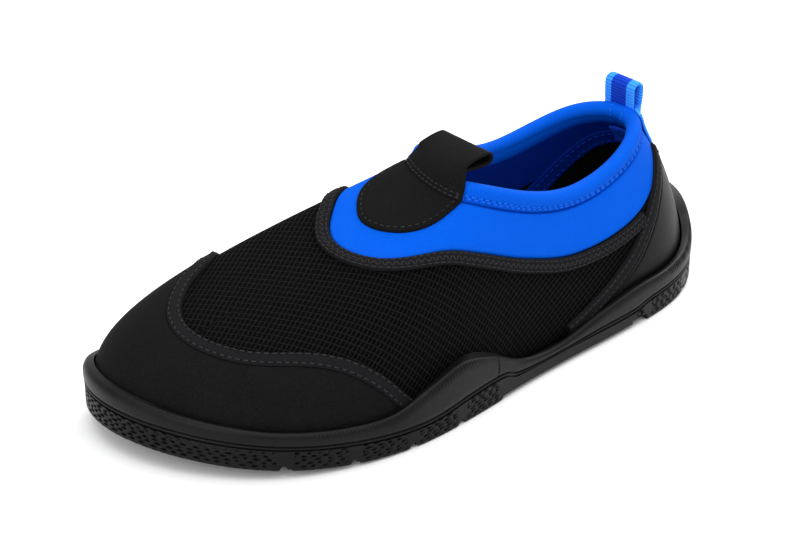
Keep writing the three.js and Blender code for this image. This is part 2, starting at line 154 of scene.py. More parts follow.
@dataclass(frozen=True)
class Last:
    """The form that the whole shoe is drawn on.

    A place on the upper is (u, b): u goes once round the foot from the back of the heel by the
    outer side to the toe (0.5), and b goes up from the sole (0) to the middle of the rim (1).
    """

    sole_plan: tuple[tuple[float, float], ...] = (
        (-148, -4), (-138, 21), (-113, 40), (-70, 46), (-20, 50), (23, 58), (61, 62), (114, 47),
        (148, -6), (136, -47), (103, -49), (63, -47), (11, -37), (-46, -30), (-108, -38), (-144, -26),
    )
    topline: tuple[tuple[float, float, float], ...] = (
        (-113, 0, 74), (-103, 17, 73), (-85, 25, 66), (-57, 27, 59), (-30, 27, 66),
        (-9, 25, 75.5), (-1.5, 19, 77), (-1, 10, 77.8), (-2.5, 1, 78.2), (-5, -7, 78.6),
        (-10, -14.5, 77.8), (-18, -21.5, 75), (-32, -26.5, 67.5), (-57, -27, 59), (-85, -25, 66),
        (-103, -17, 73),
    )
    feather: float = 8.0
    feather_inset: float = 6.0
    plan_columns: int = 48

    @property
    def shift(self) -> Array:
        """Move from the last's own origin to the frame's, under the middle of the outsole."""
        plan = closed_spline(self.sole_plan, np.arange(self.plan_columns) / self.plan_columns)
        middle = (plan.min(0) + plan.max(0)) / 2
        return np.array([-middle[0], -middle[1], 0.0])

    def spring(self, x: Array) -> Array:
        """Rise of the sole's ground side: squares of the distance past the ball and the heel."""
        toe = np.maximum((x - 35) / 107, 0)
        heel = np.maximum((-100 - x) / 42, 0)
        return 9 * toe**2 + 2.5 * heel**2

    def outward(self, u: Array) -> Array:
        """Plan direction out of the sole's outline: its tangent turned a quarter turn."""
        tangent = closed_spline(self.sole_plan, u + 1e-4) - closed_spline(self.sole_plan, u - 1e-4)
        out = unit(np.stack([-tangent[..., 1], tangent[..., 0]], -1))
        return np.concatenate([out, np.zeros_like(out[..., :1])], -1)

    def outline(self, u: Array, inset: Array | float, height: Array | float) -> Array:
        """Outline of the sole moved inwards, at a height above its ground side.

        Args:
            u: places round the shoe.
            inset: how far in from the outline.
            height: height above the sole's ground side.

        Returns:
            Points, in the shape of u, inset and height broadcast together.
        """
        u, inset, height = np.broadcast_arrays(np.asarray(u, float), inset, height)
        plan = closed_spline(self.sole_plan, u)
        flat = plan - self.outward(u)[..., :2] * inset[..., None]
        return np.concatenate([flat, (self.spring(flat[..., 0]) + height)[..., None]], -1)

    def section(self, u: Array) -> tuple[Array, Array, Array, Array]:
        """Bezier points of the upper's section: full over the toe, leaning in at the heel."""
        forward = np.sin(np.pi * u) ** 2
        backward = np.cos(np.pi * u) ** 2
        sole = self.outline(u, self.feather_inset, self.feather)
        out = unit(self.outline(u, 0, self.feather) - sole)
        top = closed_spline(self.topline, u)
        low = sole + out * (5 * forward**6)[..., None]
        low[..., 2] += 18 + 16 * forward**6
        share = (0.3 + 0.29 * forward**2)[..., None]
        high = top + (sole - top) * share + out * (5 * backward**3)[..., None]
        high[..., 2] = top[..., 2] - 19 - 20 * forward**4 + 7 * backward**8
        instep = 10 * np.exp(-(((u - 0.585) / 0.06) ** 2))
        high[..., 1] -= instep
        high[..., 2] += instep
        return sole, low, high, top

    def skin(self, u: Array, b: Array | float) -> Array:
        """Outer face of the upper's base layer: the cubic Bezier of each section.

        Args:
            u: places round the shoe.
            b: places up the section, which broadcast with u.

        Returns:
            Points on the surface.
        """
        u, b = np.broadcast_arrays(np.asarray(u, float), b)
        p0, p1, p2, p3 = self.section(u)
        c, b = (1 - b)[..., None], b[..., None]
        return c**3 * p0 + 3 * b * c**2 * p1 + 3 * b**2 * c * p2 + b**3 * p3

    def frame_at(self, u: Array, b: Array | float) -> tuple[Array, Array, Array, Array]:
        """Point, change round, change up and outward normal of the upper.

        Args:
            u: places round the shoe.
            b: places up the section.

        Returns:
            The point, its derivative by u, its derivative by b, and the unit normal.
        """
        step = 1e-4
        point = self.skin(u, b)
        round_ = (self.skin(u + step, b) - self.skin(u - step, b)) / (2 * step)
        up = (self.skin(u, b + step) - self.skin(u, b - step)) / (2 * step)
        return point, round_, up, unit(np.cross(up, round_))

    def place(self, u: Array, b: Array | float, offset: Array | float) -> Array:
        """Point at a distance out from the upper's outer face."""
        point, _, _, normal = self.frame_at(u, b)
        return point + normal * np.broadcast_to(np.asarray(offset, float), point.shape[:-1])[..., None]

    def up(self, u: Array, b: Array | float, distance: Array | float) -> Array:
        """The b that lies a distance up the section from another, by one corrected step."""
        u, b, distance = np.broadcast_arrays(np.asarray(u, float), b, distance)
        start = self.skin(u, b)
        speed = np.linalg.norm(self.skin(u, b + 1e-3) - self.skin(u, b - 1e-3), axis=-1) / 2e-3
        guess = b + distance / speed
        reached = np.linalg.norm(self.skin(u, guess) - start, axis=-1)
        share = np.abs(distance) / np.maximum(reached, 1e-6)
        return b + (guess - b) * np.where(reached > 1e-6, share, 1)

    def from_top(self, u: Array, below: Array | float, offset: Array | float) -> Array:
        """Point placed from the rim's middle: so far below it along the section, so far out.

        Args:
            u: places round the shoe.
            below: distance below the rim's middle; above it where negative.
            offset: distance out from the upper's outer face.

        Returns:
            The points.
        """
        u, below, offset = np.broadcast_arrays(np.asarray(u, float), below, offset)
        b = self.up(u, 1.0, -np.maximum(below, 0))
        upward = unit(self.skin(u, 1.0) - self.skin(u, 0.999))
        return self.place(u, b, offset) + upward * np.maximum(-below, 0)[..., None]

    def beside(self, u: Array, b: Array, distance: Array | float) -> tuple[Array, Array]:
        """Places beside a line on the upper, at a distance square to it.

        The sideways step is turned into steps of u and b by the surface's own two directions.

        Args:
            u: the line's places round the shoe.
            b: the line's places up it.
            distance: how far to its upper side.

        Returns:
            The new u and b.
        """
        point, round_, up, normal = self.frame_at(u, b)
        along = unit(np.gradient(point, axis=0))
        side = unit(np.cross(along, normal))
        side = side * np.sign(np.sum(side * up, -1, keepdims=True))
        move = side * np.broadcast_to(np.asarray(distance, float), u.shape)[..., None]
        rr, ru, uu = (np.sum(a * c, -1) for a, c in ((round_, round_), (round_, up), (up, up)))
        mr, mu = np.sum(move * round_, -1), np.sum(move * up, -1)
        size = rr * uu - ru**2
        return u + (mr * uu - mu * ru) / size, b + (mu * rr - mr * ru) / size


LAST = Last()

WALL_HEIGHT = Curve((
    (-146, 31), (-143, 29), (-137, 24), (-127, 19.5), (-108, 17.5), (-82, 17.5), (-58, 14.5),
    (-32, 10.2), (-11, 12.5), (8, 21.5), (25, 26), (42, 22.5), (60, 17), (80, 17), (105, 19.5),
    (125, 23.2), (138, 26.4), (144, 27.8),
))
COLLAR_EDGE = Curve((
    (0, 0.75), (0.06, 0.72), (0.1, 0.65), (0.15, 0.59), (0.21, 0.58), (0.25, 0.64), (0.3, 0.72),
    (0.36, 0.78), (0.44, 0.78), (0.5, 0.8), (0.56, 0.84), (0.62, 0.84), (0.7, 0.74),
    (0.75, 0.64), (0.79, 0.58), (0.85, 0.59), (0.9, 0.65), (0.94, 0.72), (1, 0.75),
))
TOE_CAP_EDGE = Curve((
    (0.34, -0.06), (0.365, 0.12), (0.38, 0.23), (0.396, 0.31), (0.412, 0.36), (0.43, 0.38),
    (0.46, 0.36), (0.49, 0.375), (0.52, 0.42), (0.55, 0.48), (0.58, 0.52), (0.605, 0.5),
    (0.63, 0.44), (0.66, 0.28), (0.68, 0.12), (0.705, -0.06),
))
HEEL_PANEL_EDGE = Curve((
    (-0.25, -0.1), (-0.206, 0.08), (-0.165, 0.3), (-0.134, 0.47), (-0.1, 0.6), (-0.055, 0.7),
    (0, 0.73), (0.055, 0.7), (0.1, 0.6), (0.134, 0.47), (0.165, 0.3), (0.206, 0.08), (0.25, -0.1),
))
PATCH_EDGE = Curve((
    (0.345, 0.985), (0.359, 0.945), (0.375, 0.915), (0.39, 0.89), (0.41, 0.87), (0.44, 0.858),
    (0.49, 0.858), (0.53, 0.875), (0.56, 0.895), (0.581, 0.93), (0.594, 0.985),
))
HEEL_LINING_EDGE = Curve((
    (-0.22, -0.1), (-0.18, 0.18), (-0.145, 0.42), (-0.11, 0.58), (-0.065, 0.68), (0, 0.7),
    (0.065, 0.68), (0.11, 0.58), (0.145, 0.42), (0.18, 0.18), (0.22, -0.1),
))


def near_heel(u: Array) -> Array:
    """Places round the shoe, counted from -0.5 to 0.5 about the heel."""
    return np.mod(np.asarray(u, float) + 0.5, 1.0) - 0.5


# ---------------------------------------------------------------- meshes


@dataclass
class MeshMaker:
    """Gathers grids and caps of points, then makes one mesh of them."""

    points: list[Array] = field(default_factory=list)
    faces: list[Array] = field(default_factory=list)
    uvs: list[Array] = field(default_factory=list)
    count: int = 0

    def grid(self, points: Array, uv: Array | None = None, round_: bool = False, loop: bool = False) -> Array:
        """Adds a grid of quads.

        Args:
            points: rows and columns of points, (n, k, 3). The first axis runs as u does and the
                second as b does, so that faces point outwards.
            uv: pattern coordinates of the points, with one more row or column where it wraps.
            round_: whether the first axis closes on itself.
            loop: whether the second axis closes on itself.

        Returns:
            The numbers of the points, (n, k).
        """
        n, k = points.shape[:2]
        numbers = self.count + np.arange(n * k).reshape(n, k)
        i, j = np.meshgrid(np.arange(n if round_ else n - 1), np.arange(k if loop else k - 1), indexing="ij")
        ci = np.stack([i, i, i + 1, i + 1], -1).reshape(-1, 4)
        cj = np.stack([j, j + 1, j + 1, j], -1).reshape(-1, 4)
        self.points.append(points.reshape(-1, 3))
        self.faces.append(numbers[ci % n, cj % k])
        if uv is None:
            uv = np.zeros((n + 1, k + 1, 2))
        self.uvs.append(uv[np.minimum(ci, uv.shape[0] - 1), np.minimum(cj, uv.shape[1] - 1)])
        self.count += n * k
        return numbers

    def cap(self, ring: Array, centre: Array, flip: bool) -> None:
        """Closes a ring of numbered points with a fan round a new point."""
        following = np.roll(ring, -1)
        middle = np.full_like(ring, self.count)
        order = (middle, following, ring) if flip else (middle, ring, following)
        self.points.append(np.asarray(centre, float).reshape(1, 3))
        self.faces.append(np.stack([*order, order[2]], -1))
        self.uvs.append(np.zeros((len(ring), 4, 2)))
        self.count += 1

    def ends(self, numbers: Array) -> None:
        """Closes both ends of a swept loop whose first half lies over its second."""
        rows = numbers.shape[1] // 2
        j = np.arange(rows - 1)
        across = numbers.shape[1] - 1 - j
        first, last = numbers[0], numbers[-1]
        start = np.stack([first[j], first[across], first[across - 1], first[j + 1]], -1)
        finish = np.stack([last[j], last[j + 1], last[across - 1], last[across]], -1)
        for quads in (start, finish):
            self.faces.append(quads)
            self.uvs.append(np.zeros((len(quads), 4, 2)))

    def build(self, name: str, sharp: float = 40.0, in_frame: bool = False) -> bpy.types.Object:
        """Makes the mesh and its object, smooth but for edges sharper than an angle.

        Args:
            name: the piece's name.
            sharp: edges that turn by more degrees than this stay sharp.
            in_frame: whether the points are in the frame's place already.

        Returns:
            The object, linked into the scene.
        """
        points = np.concatenate(self.points) + (0 if in_frame else LAST.shift)
        quads = np.concatenate(self.faces)
        uvs = np.concatenate(self.uvs)
        triangle = quads[:, 3] == quads[:, 2]
        sizes = np.where(triangle, 3, 4)
        kept = np.ones_like(quads, bool)
        kept[triangle, 3] = False
        mesh = bpy.data.meshes.new(name)
        mesh.vertices.add(len(points))
        mesh.vertices.foreach_set("co", (points * MM).astype(np.float32).ravel())
        mesh.loops.add(int(sizes.sum()))
        mesh.loops.foreach_set("vertex_index", quads[kept].astype(np.int32))
        mesh.polygons.add(len(quads))
        mesh.polygons.foreach_set("loop_start", (np.cumsum(sizes) - sizes).astype(np.int32))
        layer = mesh.uv_layers.new(name=UV_NAME)
        layer.data.foreach_set("uv", (uvs[kept] * MM).astype(np.float32).ravel())
        mesh.update(calc_edges=True)
        mesh.validate()
        mesh.polygons.foreach_set("use_smooth", np.ones(len(mesh.polygons), bool))
        mesh.set_sharp_from_angle(angle=math.radians(sharp))
        piece = bpy.data.objects.new(name, mesh)
        bpy.context.scene.collection.objects.link(piece)
        return piece


def fit_out(
    piece: bpy.types.Object,
    material: bpy.types.Material,
    body: Body | None = Body.SHOE,
    stands_for: Sequence[str] = (),
) -> bpy.types.Object:
    """Gives a piece its material and body, and hides the frame's nodes that it stands for."""
    piece.data.materials.clear()
    piece.data.materials.append(material)
    if body is not None:
        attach(piece, body.value)
    if stands_for:
        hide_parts(*stands_for)
    LOG.info("%s: %d faces", piece.name, len(piece.data.polygons))
    return piece


def rounded(distance: Array, radius: float) -> Array:
    """0 at an edge and 1 a radius inside it, along a quarter circle."""
    return np.sqrt(1 - (1 - np.clip(distance / radius, 0, 1)) ** 2)


def crease(distance: Array, at: float, depth: float, width: float) -> Array:
    """A bell-shaped groove at a distance from an edge."""
    return depth * np.exp(-(((distance - at) / width) ** 2))


EDGE_STEPS = np.array([0, 0.08, 0.2, 0.4, 0.7, 1.1, 1.6, 2.2, 2.9, 3.7])


def rows_between(length: Array, inner_rows: int) -> Array:
    """Distances from one edge to the other, close together near both.

    Args:
        length: distance between the edges for each column, (n,).
        inner_rows: rows between the two edge zones.

    Returns:
        Distances, (n, rows).
    """
    zone = np.minimum(EDGE_STEPS[-1], length * 0.45)[:, None]
    edge = EDGE_STEPS[None, :] / EDGE_STEPS[-1] * zone
    t = np.linspace(0, 1, inner_rows + 2)[None, 1:-1]
    middle = zone + (length[:, None] - 2 * zone) * t
    return np.concatenate([edge, middle, length[:, None] - edge[:, ::-1]], 1)


def girth(points: Array) -> Array:
    """Pattern coordinates for cloth pulled lengthwise over the foot.

    The first runs along the shoe. The second is the way down from the instep's crest, taken as
    a power mean of the distance sideways and the distance down.

    Args:
        points: points on the upper.

    Returns:
        The two coordinates in millimetres.
    """
    crest = Curve(((-120, 82), (-20, 82), (0, 78), (40, 60), (80, 50), (110, 43), (140, 30)))
    sideways = np.abs(points[..., 1])
    down = np.maximum(crest(points[..., 0]) - points[..., 2], 0)
    way = (sideways**1.3 + down**1.3) ** (1 / 1.3)
    return np.stack([points[..., 0], way * np.sign(points[..., 1] + 1e-6)], -1)


@dataclass
class Panel:
    """A panel of the upper between two edges, as a closed shell with rounded edges."""

    low: Callable[[Array], Array]
    high: Callable[[Array], Array]
    inner: float
    outer: float
    span: tuple[float, float] | None = None
    columns: int = 400
    rows: int = 20
    edge_radius: float = 0.9
    least: float = 0.01
    creases: tuple[tuple[float, float, float], ...] = ()
    fabric: Callable[[Array], Array] | None = None

    def places(self) -> tuple[Array, Array, Array]:
        """Columns, and the b and edge distance of every row.

        Arc length up each section is tabulated, and the wanted distances are read back from it.

        Returns:
            u as (n, 1), b as (n, rows), and distances from the low and high edge (n, rows, 2).
        """
        if self.span is None:
            u = np.arange(self.columns) / self.columns
        else:
            u = np.linspace(*self.span, self.columns)
            u = u[self.high(u) - self.low(u) > self.least]
        low, high = self.low(u), self.high(u)
        share = np.linspace(0, 1, 65)
        table = low[:, None] + (high - low)[:, None] * share
        walk = np.linalg.norm(np.diff(LAST.skin(u[:, None], table), axis=1), axis=-1)
        reach = np.concatenate([np.zeros((len(u), 1)), np.cumsum(walk, 1)], 1)
        away = rows_between(reach[:, -1], self.rows)
        i = np.clip((reach[:, None, :] <= away[:, :, None]).sum(-1) - 1, 0, len(share) - 2)
        near, far = np.take_along_axis(reach, i, 1), np.take_along_axis(reach, i + 1, 1)
        t = (share[i] + (away - near) / np.maximum(far - near, 1e-9) / (len(share) - 1))
        b = low[:, None] + (high - low)[:, None] * np.clip(t, 0, 1)
        return u[:, None], b, np.stack([away, reach[:, -1:] - away], -1)

    def build(self, name: str) -> bpy.types.Object:
        """Makes the shell: an outer face that rolls down at its edges, and an inner face."""
        u, b, away = self.places()
        rise = rounded(away[..., 0], self.edge_radius) * rounded(away[..., 1], self.edge_radius)
        offset = self.inner + (self.outer - self.inner) * (0.15 + 0.85 * rise)
        for at, depth, width in self.creases:
            side = away[..., 0] if at >= 0 else away[..., 1]
            offset = offset - crease(side, abs(at), depth, width)
        outside = LAST.place(u, b, offset)
        inside = LAST.place(u, b, self.inner)
        loops = np.concatenate([outside, inside[:, ::-1]], 1)
        fabric = self.fabric or girth
        uv = fabric(loops)
        closed = self.span is None
        if closed:
            uv = np.concatenate([uv, uv[:1]], 0)
        maker = MeshMaker()
        numbers = maker.grid(loops, uv, round_=closed, loop=True)
        if not closed:
            maker.ends(numbers)
        return maker.build(name)


@dataclass
class Ribbon:
    """A strip that lies on the upper along a line, of one width measured square to the line."""

    u: Array
    b: Array
    width: float
    inner: float
    outer: float
    edge_radius: float = 0.7
    start: float = 0.0
    rise: Array | float = 0.0

    def line(self, distance: float, offset: float) -> tuple[Array, Array]:
        """A line along the strip: its points and the upper's normals there."""
        u, b = LAST.beside(self.u, self.b, distance)
        point, _, _, normal = LAST.frame_at(u, b)
        return point + normal * offset, normal

    def build(self, name: str, crown: float = 0.0) -> bpy.types.Object:
        """Makes the strip as a closed shell.

        Args:
            name: the piece's name.
            crown: how much its middle stands proud of its edges.

        Returns:
            The object.
        """
        across = rows_between(np.array([self.width]), 8)[0]
        pairs = [LAST.beside(self.u, self.b, self.start + d) for d in across]
        u = np.stack([p[0] for p in pairs], 1)
        b = np.stack([p[1] for p in pairs], 1)
        edge = rounded(across, self.edge_radius) * rounded(self.width - across, self.edge_radius)
        bulge = crown * np.sin(np.pi * across / self.width)
        offset = self.inner + (self.outer - self.inner) * (0.12 + 0.88 * edge) + bulge
        outside = LAST.place(u, b, np.broadcast_to(offset, u.shape))
        inside = LAST.place(u, b, self.inner)
        walk = np.linalg.norm(np.diff(outside[:, len(across) // 2], axis=0), axis=-1)
        along = np.concatenate([[0], np.cumsum(walk)])
        uv = np.stack(np.broadcast_arrays(along[:, None], across[None, :]), -1)
        maker = MeshMaker()
        loops = np.concatenate([outside, inside[:, ::-1]], 1)
        numbers = maker.grid(loops, np.concatenate([uv, uv[:, ::-1]], 1), loop=True)
        maker.ends(numbers)
        return maker.build(name)


# ---------------------------------------------------------------- materials


def rgb(code: str) -> tuple[float, float, float, float]:
    """Linear colour of a display colour's hex code."""
    parts = np.array([int(code[i : i + 2], 16) for i in (0, 2, 4)]) / 255
    linear = np.where(parts <= 0.04045, parts / 12.92, ((parts + 0.055) / 1.055) ** 2.4)
    return (*(float(c) for c in linear), 1.0)


class Graph:
    """A material's nodes, made one at a time."""

    def __init__(self, name: str) -> None:
        """Makes an empty node material."""
        self.material = bpy.data.materials.new(name)
        self.material.use_nodes = True
        self.tree = self.material.node_tree
        self.tree.nodes.clear()

    def node(self, kind: str, settings: dict | None = None, inputs: dict | None = None) -> bpy.types.Node:
        """Adds a node.

        Args:
            kind: the node's type.
            settings: its properties, set first.
            inputs: values, links or Values for its sockets, by name or number.

        Returns:
            The node.
        """
        made = self.tree.nodes.new(kind)
        for key, value in (settings or {}).items():
            setattr(made, key, value)
        for key, value in (inputs or {}).items():
            socket = made.inputs[key]
            if isinstance(value, Value):
                value = value.socket
            if isinstance(value, bpy.types.NodeSocket):
                self.tree.links.new(value, socket)
            else:
                socket.default_value = value
        return made

    def value(self, kind: str, output: str | int = 0, settings: dict | None = None, inputs: dict | None = None) -> Value:
        """Adds a node and wraps one of its outputs."""
        return Value(self, self.node(kind, settings, inputs).outputs[output])

    def place(self) -> bpy.types.NodeSocket:
        """Object coordinates."""
        return self.node("ShaderNodeTexCoord").outputs["Object"]

    def cloth(self) -> tuple[Value, Value]:
        """The piece's own pattern coordinates in millimetres."""
        found = self.node("ShaderNodeUVMap", {"uv_map": UV_NAME}).outputs[0]
        split = self.node("ShaderNodeSeparateXYZ", inputs={0: found})
        return Value(self, split.outputs[0]) * 1000, Value(self, split.outputs[1]) * 1000

    def noise(self, size: float, detail: float = 3.0, rough: float = 0.6) -> Value:
        """Noise from 0 to 1 with blotches of a size in millimetres."""
        settings = {"Vector": self.place(), "Scale": 1000 / size, "Detail": detail, "Roughness": rough}
        return self.value("ShaderNodeTexNoise", 0, inputs=settings)

    def mix(self, share: Value, low: object, high: object) -> bpy.types.NodeSocket:
        """Colour between two colours."""
        made = self.node("ShaderNodeMix", {"data_type": "RGBA"}, {0: share, 6: low, 7: high})
        return made.outputs[2]

    def finish(
        self,
        colour: object,
        roughness: object,
        height: Value,
        specular: float = 0.5,
        sheen: float = 0.0,
    ) -> bpy.types.Material:
        """Ends the material in a surface shader.

        Args:
            colour: base colour, or a link to one.
            roughness: roughness, or a link to one.
            height: relief in millimetres.
            specular: constant specular level.
            sheen: constant sheen weight.

        Returns:
            The material.
        """
        bump = self.node("ShaderNodeBump", inputs={"Strength": 1.0, "Distance": MM, "Height": height})
        constants = {"Specular IOR Level": specular, "Sheen Weight": sheen, "Sheen Roughness": 0.6}
        varying = {"Base Color": colour, "Roughness": roughness, "Normal": bump.outputs[0]}
        shader = self.node("ShaderNodeBsdfPrincipled", inputs={**constants, **varying})
        self.node("ShaderNodeOutputMaterial", inputs={0: shader.outputs[0]})
        return self.material


class Value:
    """A number that varies over a surface: arithmetic on it adds Math nodes."""

    def __init__(self, graph: Graph, socket: bpy.types.NodeSocket) -> None:
        """Wraps a socket of a graph."""
        self.graph = graph
        self.socket = socket

    def maths(self, operation: str, *others: object, first: bool = True) -> Value:
        """Adds a Math node with this value and others."""
        operands = (self, *others) if first else (*others, self)
        return self.graph.value("ShaderNodeMath", 0, {"operation": operation}, dict(enumerate(operands)))

    def __add__(self, other: object) -> Value:
        """Sum."""
        return self.maths("ADD", other)

    __radd__ = __add__

    def __sub__(self, other: object) -> Value:
        """Difference."""
        return self.maths("SUBTRACT", other)

    def __rsub__(self, other: object) -> Value:
        """Difference from a number."""
        return self.maths("SUBTRACT", other, first=False)

    def __mul__(self, other: object) -> Value:
        """Product."""
        return self.maths("MULTIPLY", other)

    __rmul__ = __mul__

    def __truediv__(self, other: object) -> Value:
        """Quotient."""
        return self.maths("DIVIDE", other)

    def triangle(self, period: float) -> Value:
        """Distance to the nearest multiple of a period."""
        return self.maths("PINGPONG", period / 2)

    def wave(self, period: float) -> Value:
        """Sine of a period, from -1 to 1."""
        return (self * (2 * math.pi / period)).maths("SINE")

    def least(self, other: object) -> Value:
        """The smaller of two."""
        return self.maths("MINIMUM", other)

    def most(self, other: object) -> Value:
        """The larger of two."""
        return self.maths("MAXIMUM", other)

    def ramp(self, low: float, high: float) -> Value:
        """0 at low, 1 at high, smooth between and level beyond."""
        settings = {"interpolation_type": "SMOOTHSTEP"}
        return self.graph.value("ShaderNodeMapRange", 0, settings, {0: self, 1: low, 2: high})


@dataclass(frozen=True)
class Suede:
    """Napped synthetic: matt, with a fine speckle."""

    dark: str = "060607"
    light: str = "131314"
    grain: float = 0.5
    relief: float = 0.10
    roughness: float = 0.78

    def material(self, name: str) -> bpy.types.Material:
        """Speckle from two noises, which also raise the nap."""
        graph = Graph(name)
        fine, broad = graph.noise(self.grain, 4, 0.75), graph.noise(14, 2)
        speckle = (fine * 1.0 + broad * 0.1).ramp(0.4, 0.72)
        colour = graph.mix(speckle, rgb(self.dark), rgb(self.light))
        return graph.finish(colour, self.roughness + fine * 0.1 - 0.05, fine * self.relief, 0.07)


@dataclass(frozen=True)
class Smooth:
    """Smooth coated synthetic or moulded rubber: satin, with faint grain."""

    colour: str = "19191a"
    lighter: str = "252526"
    grain: float = 1.2
    relief: float = 0.05
    roughness: float = 0.5
    specular: float = 0.5

    def material(self, name: str) -> bpy.types.Material:
        """Grain from noise, with patches of slightly different gloss."""
        graph = Graph(name)
        fine, broad = graph.noise(self.grain, 3), graph.noise(22, 3)
        colour = graph.mix(broad.ramp(0.35, 0.7), rgb(self.colour), rgb(self.lighter))
        rough = self.roughness + fine * 0.14 + broad * 0.14 - 0.14
        return graph.finish(colour, rough, fine * self.relief, self.specular)


@dataclass(frozen=True)
class OpenMesh:
    """Open warp-knit mesh: a strong and a weak family of yarns crossing in diamonds over near-black openings, the
    black lining behind them deepened by painted shade.
    """

    strong_slope: float = 1.7
    weak_slope: float = 0.675
    strong_cell: float = 3.8
    weak_cell: float = 3.2
    yarn: str = "1c1c1d"
    opening_shade: str = "010101"

    def material(self, name: str) -> bpy.types.Material:
        """Yarns lie where a slanting coordinate is near a whole number of cells."""
        graph = Graph(name)
        x, y = graph.cloth()
        wander = graph.noise(3.5, 2) * 0.25
        second = (x + y * self.weak_slope) / self.weak_cell + wander
        zigzag = second.triangle(1.0) * 0.2
        first = (x - y * self.strong_slope) / self.strong_cell + zigzag - wander
        strong = 1 - first.triangle(1.0).ramp(0.05, 0.17)
        weak = 1 - second.triangle(1.0).ramp(0.04, 0.14)
        body = strong.most(weak * 0.7)
        twist = graph.noise(0.3, 2, 0.7)
        shade = (body * (0.3 + twist)).ramp(0.12, 1.0)
        # Between the yarns the colour goes near-black: the lining is black, and the extra darkness is painted shade
        colour = graph.mix(shade, rgb(self.opening_shade), rgb(self.yarn))
        return graph.finish(colour, 0.9 - body * 0.25, body * 0.6 + twist * 0.06, 0.05)


@dataclass(frozen=True)
class Tape:
    """Woven or knitted tape with fine ribs along it."""

    colour: str = "0a0a0b"
    lighter: str = "1b1b1d"
    rib: float = 0.7

    def material(self, name: str) -> bpy.types.Material:
        """Two waves make the weave, broken by noise."""
        graph = Graph(name)
        along, across = graph.cloth()
        fine = graph.noise(0.5, 3, 0.7)
        weave = along.wave(self.rib) * across.wave(self.rib * 0.9) * 0.5 + 0.5
        colour = graph.mix((weave * 0.5 + fine * 0.7).ramp(0.25, 1.0), rgb(self.colour), rgb(self.lighter))
        return graph.finish(colour, 0.86 - fine * 0.12, weave * 0.07 + fine * 0.08, 0.08)


@dataclass(frozen=True)
class Jersey:
    """Fine jersey face of a neoprene sheet."""

    deep: str = "004bc0"
    bright: str = "005bd4"
    wale: float = 0.62
    relief: float = 0.05
    roughness: float = 0.72

    def material(self, name: str) -> bpy.types.Material:
        """Knit stitches from two waves, with soft cloudiness under them."""
        graph = Graph(name)
        x, y = graph.cloth()
        cloud, fine = graph.noise(9, 3), graph.noise(0.45, 3, 0.7)
        knit = x.wave(self.wale) * y.wave(self.wale * 1.2) * 0.5 + 0.5
        share = (cloud * 0.1 + fine * 0.7 + knit * 0.15).ramp(0.25, 0.75)
        colour = graph.mix(share, rgb(self.deep), rgb(self.bright))
        height = knit * self.relief + fine * self.relief + cloud * 0.05
        return graph.finish(colour, self.roughness + fine * 0.12 - 0.06, height, 0.04)


@dataclass(frozen=True)
class Grosgrain:
    """Ribbed webbing with paler edges."""

    middle: str = "0a3fc4"
    edge: str = "3f9bff"
    middle_rib_shade: str = "062a8c"
    edge_rib_shade: str = "1b6fe0"
    width: float = 17.0
    rib: float = 1.3

    def material(self, name: str) -> bpy.types.Material:
        """Colour by distance from the edge; painted shade between the ribs by distance along, broken by noise."""
        graph = Graph(name)
        along, across = graph.cloth()
        inside = (across - self.width / 2).maths("ABSOLUTE")
        band = inside.ramp(4.2, 4.7)
        fine = graph.noise(0.4, 3, 0.7)
        rib = (along.wave(self.rib) * 0.5 + 0.5) * 0.6 + fine * 0.5
        base = graph.mix(band, rgb(self.middle), rgb(self.edge))
        # Darker copies of both colours: painted shade in the grooves between ribs
        dark = graph.mix(band, rgb(self.middle_rib_shade), rgb(self.edge_rib_shade))
        colour = graph.mix(rib.ramp(0.15, 0.75), dark, base)
        return graph.finish(colour, 0.62 + fine * 0.15, fine * 0.07, 0.08)


@dataclass(frozen=True)
class Fibre:
    """Foam or fibre board: mottled, with small pits."""

    dark: str = "17181a"
    light: str = "2b2c2f"

    def material(self, name: str) -> bpy.types.Material:
        """Mottle from two noises."""
        graph = Graph(name)
        fine, broad = graph.noise(0.9, 4, 0.7), graph.noise(7, 3)
        colour = graph.mix((fine * 0.6 + broad * 0.5).ramp(0.35, 0.8), rgb(self.dark), rgb(self.light))
        return graph.finish(colour, 0.85 + fine * 0.1 - 0.05, fine * 0.16, 0.12)


@dataclass(frozen=True)
class Thread:
    """Twisted sewing thread."""

    dark: str = "101011"
    light: str = "4a4a4d"

    def material(self, name: str) -> bpy.types.Material:
        """Strands as fine noise."""
        graph = Graph(name)
        fine = graph.noise(0.35, 3, 0.7)
        colour = graph.mix(fine.ramp(0.3, 0.7), rgb(self.dark), rgb(self.light))
        return graph.finish(colour, 0.6 + fine * 0.2, fine * 0.05, 0.1)


